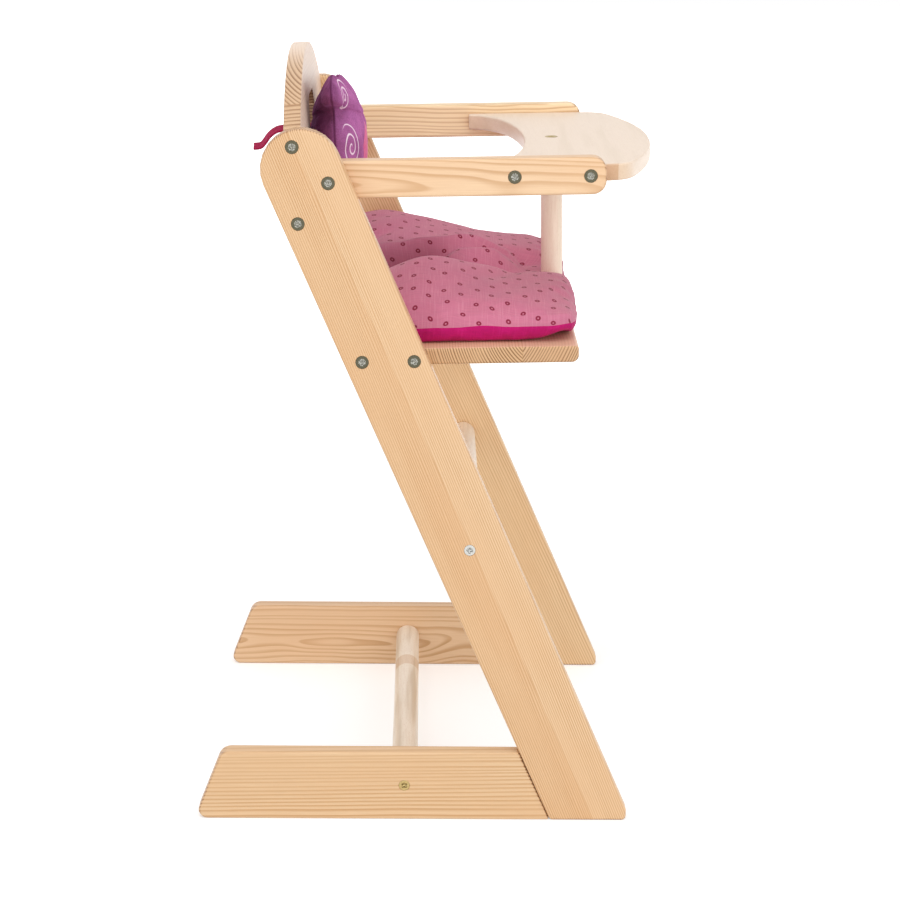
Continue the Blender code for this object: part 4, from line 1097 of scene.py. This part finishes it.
def plain_cotton(name, ground, light):
    """Plain cotton on Object coordinates: slightly uneven dye and a fine weave."""
    finish, shader, place, _ = new_finish(name)
    x, y, z = place.parts()
    thread = place.noise(x * 1500, y * 1500, z * 1500)
    cloudy = place.noise(x * 90, y * 90, z * 90)
    colour = (thread * 0.5 + cloudy * 0.4).ramp(0.3, 0.6).blend(ground, light)
    coat(shader, colour, 0.9, thread, 0.4, 0.0003, {
        "Specular IOR Level": 0.2, "Sheen Weight": 0.3,
    })
    return finish


body_turn = Vector((0, 0, 1)).rotation_difference(body_axis).to_matrix().to_4x4()
body_place = Matrix.Translation((body_low + body_high) / 2) @ body_turn
body_cotton = plain_cotton("pink_body_cotton", pink_body, pink_light)
body = closed_piece(
    "butterfly_body_cotton", [roll_shape()], body_cotton, "pink_cotton", "butterfly_body",
    body_place,
)
rounded(body)


# Tapes: woven magenta cotton tapes sewn to the back of the butterfly, led through the grip hole
# over its lower edge. The near one sticks out behind the board, the far one hangs down its back.
tape_half, tape_thickness = 0.005, 0.0012
tape_rows, tape_columns = 120, 13
tape_deep = (0.31, 0.004, 0.045)
tape_light = (0.46, 0.010, 0.090)
tape_edge = (0.30, 0.004, 0.045)
tapes = {
    "tape_near": (-5.8, math.radians(-15), [
        (74.04, 454.59), (78.26, 454.3), (89.23, 453.55), (98.56, 453.14), (103.41, 451.92),
        (107.84, 448.64), (111.3, 444.0), (114.02, 441.28), (118.91, 440.5),
    ]),
    "tape_far": (5.8, 0.0, [
        (75.77, 454.47), (78.26, 454.3), (89.23, 453.55), (92.76, 452.41), (93.23, 446.06),
        (91.75, 433.08), (91.22, 420.94), (91.26, 408.31),
    ]),
}


def tape_shape(side, twist, route):
    """The tape's middle surface, on a grid of place along its line and across it, and where each
    point lies on the flat tape. The line is a smooth curve, its ends carried on straight. Behind
    the board its cross lines turn about the tape's run."""
    points = np.array([(side, *place) for place in route]) / 1000
    before, after = points[:1] * 2 - points[1:2], points[-1:] * 2 - points[-2:-1]
    places = np.linspace(0, len(route) - 1, tape_rows)
    line = smooth(np.concatenate([before, points, after]), places + 1)
    across = np.linspace(-tape_half, tape_half, tape_columns) * 0.995
    ahead = np.gradient(line, axis=0)
    ahead /= np.linalg.norm(ahead, axis=1, keepdims=True)
    turn = twist * np.clip(places - 2, 0, 1)[:, None]
    sideways = np.array((1.0, 0, 0)) * np.cos(turn) + np.cross(ahead, (1.0, 0, 0)) * np.sin(turn)
    surface = line[:, None] + sideways[:, None] * across[None, :, None]
    run = run_of(line)
    return surface, np.stack(np.broadcast_arrays(across, run[:, None]), -1), run[-1]


def tape_look(name):
    """Twill tape: slanting ribs, a firm edge thread each side, and slightly uneven dye."""
    finish, shader, place, _ = new_finish(name)
    cloth = place.node("UVMap", {"uv_map": "cloth"}, {})
    u, v, _ = cloth.parts()
    rib = abs(((u + v) / 0.0011).fraction() - 0.5) * 2
    edge = abs(u).ramp(tape_half - 0.0012, tape_half - 0.0006)
    cloudy = cloth.noise(u * 300, v * 120, 2.0)
    colour = (rib * 0.35 + cloudy * 0.5).ramp(0.2, 0.75).blend(tape_deep, tape_light)
    colour = (edge * 0.35).blend(colour, tape_edge)
    coat(shader, colour, 0.85, rib + edge * 0.6, 0.6, 0.0002, {
        "Specular IOR Level": 0.2, "Sheen Weight": 0.05,
    })
    return finish


twill = tape_look("magenta_tape_twill")
for node, route in tapes.items():
    surface, flat, length = tape_shape(*route)
    faces = grid_faces(numbered(tape_rows, tape_columns))
    name = node + "_twill"
    tape = put(name, surface.reshape(-1, 3), faces, twill, "frame", "magenta_tape", [node])
    cloth_map = tape.data.uv_layers.new(name="cloth")
    cloth_map.data.foreach_set("uv", flat.reshape(-1, 2)[faces.ravel()].ravel())
    thick = tape.modifiers.new("thickness", "SOLIDIFY")
    thick.thickness, thick.offset = tape_thickness, 0


# Studio: a pale floor, a bright even surround and four soft lamps: large ones before, behind and
# above the chair, and a smaller one at its right side. None of it belongs to the chair.
floor_half = 6.0
surround_level = 0.66
lamps = [
    ("front_lamp", (-2.2, -3.2, 2.3), 3.0, 34.0),
    ("rear_lamp", (-2.6, 3.2, 2.0), 3.0, 32.0),
    ("top_lamp", (-1.5, 0.2, 3.9), 3.0, 42.0),
    ("side_lamp", (-4.4, -0.6, 1.3), 1.2, 24.0),
]


def seen_directly(signal):
    """1 for rays that come from the camera, a reflection or a refraction, else 0."""
    path = signal.node("LightPath", {}, {}).socket.node.outputs
    names = ("Is Camera Ray", "Is Glossy Ray", "Is Transmission Ray")
    camera_ray, glossy, through = (Signal(path[name]) for name in names)
    return camera_ray.math("MAXIMUM", camera_ray, glossy.math("MAXIMUM", glossy, through))


world = bpy.data.worlds.new("studio")
world.use_nodes = True
scene.world = world
sky = world.node_tree.nodes["Background"]
level = Signal(world.node_tree.nodes.new("ShaderNodeTexCoord").outputs["Generated"])
surround = seen_directly(level).blend((surround_level,) * 3, (1, 1, 1))
feed(sky, {"Color": surround, "Strength": 1.0})

floor_finish, floor_shader, floor_place, _ = new_finish("studio_floor")
fx, fy, _ = floor_place.parts()
outward = (fx * fx + fy * fy) ** 0.5
lift = seen_directly(floor_place) * outward.ramp(0.4, 2.0, 0.34, 1.0)
feed(floor_shader, {
    "Base Color": (0.84, 0.84, 0.84, 1.0),
    "Roughness": 1.0,
    "Specular IOR Level": 0.0,
    "Emission Color": lift.blend((0, 0, 0), (1, 1, 1)),
    "Emission Strength": 1.0,
})
floor_mesh = bpy.data.meshes.new("studio_floor")
corners = [(-1, -1, 0), (1, -1, 0), (1, 1, 0), (-1, 1, 0)]
floor_mesh.from_pydata([Vector(corner) * floor_half for corner in corners], [], [(0, 1, 2, 3)])
floor_mesh.materials.append(floor_finish)
floor = bpy.data.objects.new("studio_floor", floor_mesh)
scene.collection.objects.link(floor)

for name, place, size, power in lamps:
    lamp = bpy.data.objects.new(name, bpy.data.lights.new(name, "AREA"))
    lamp.data.size, lamp.data.energy = size, power
    lamp.location = place
    lamp.rotation_euler = (Vector((0, 0, 0.25)) - Vector(place)).to_track_quat("-Z", "Y").to_euler()
    scene.collection.objects.link(lamp)

scene.view_settings.view_transform = "Standard"
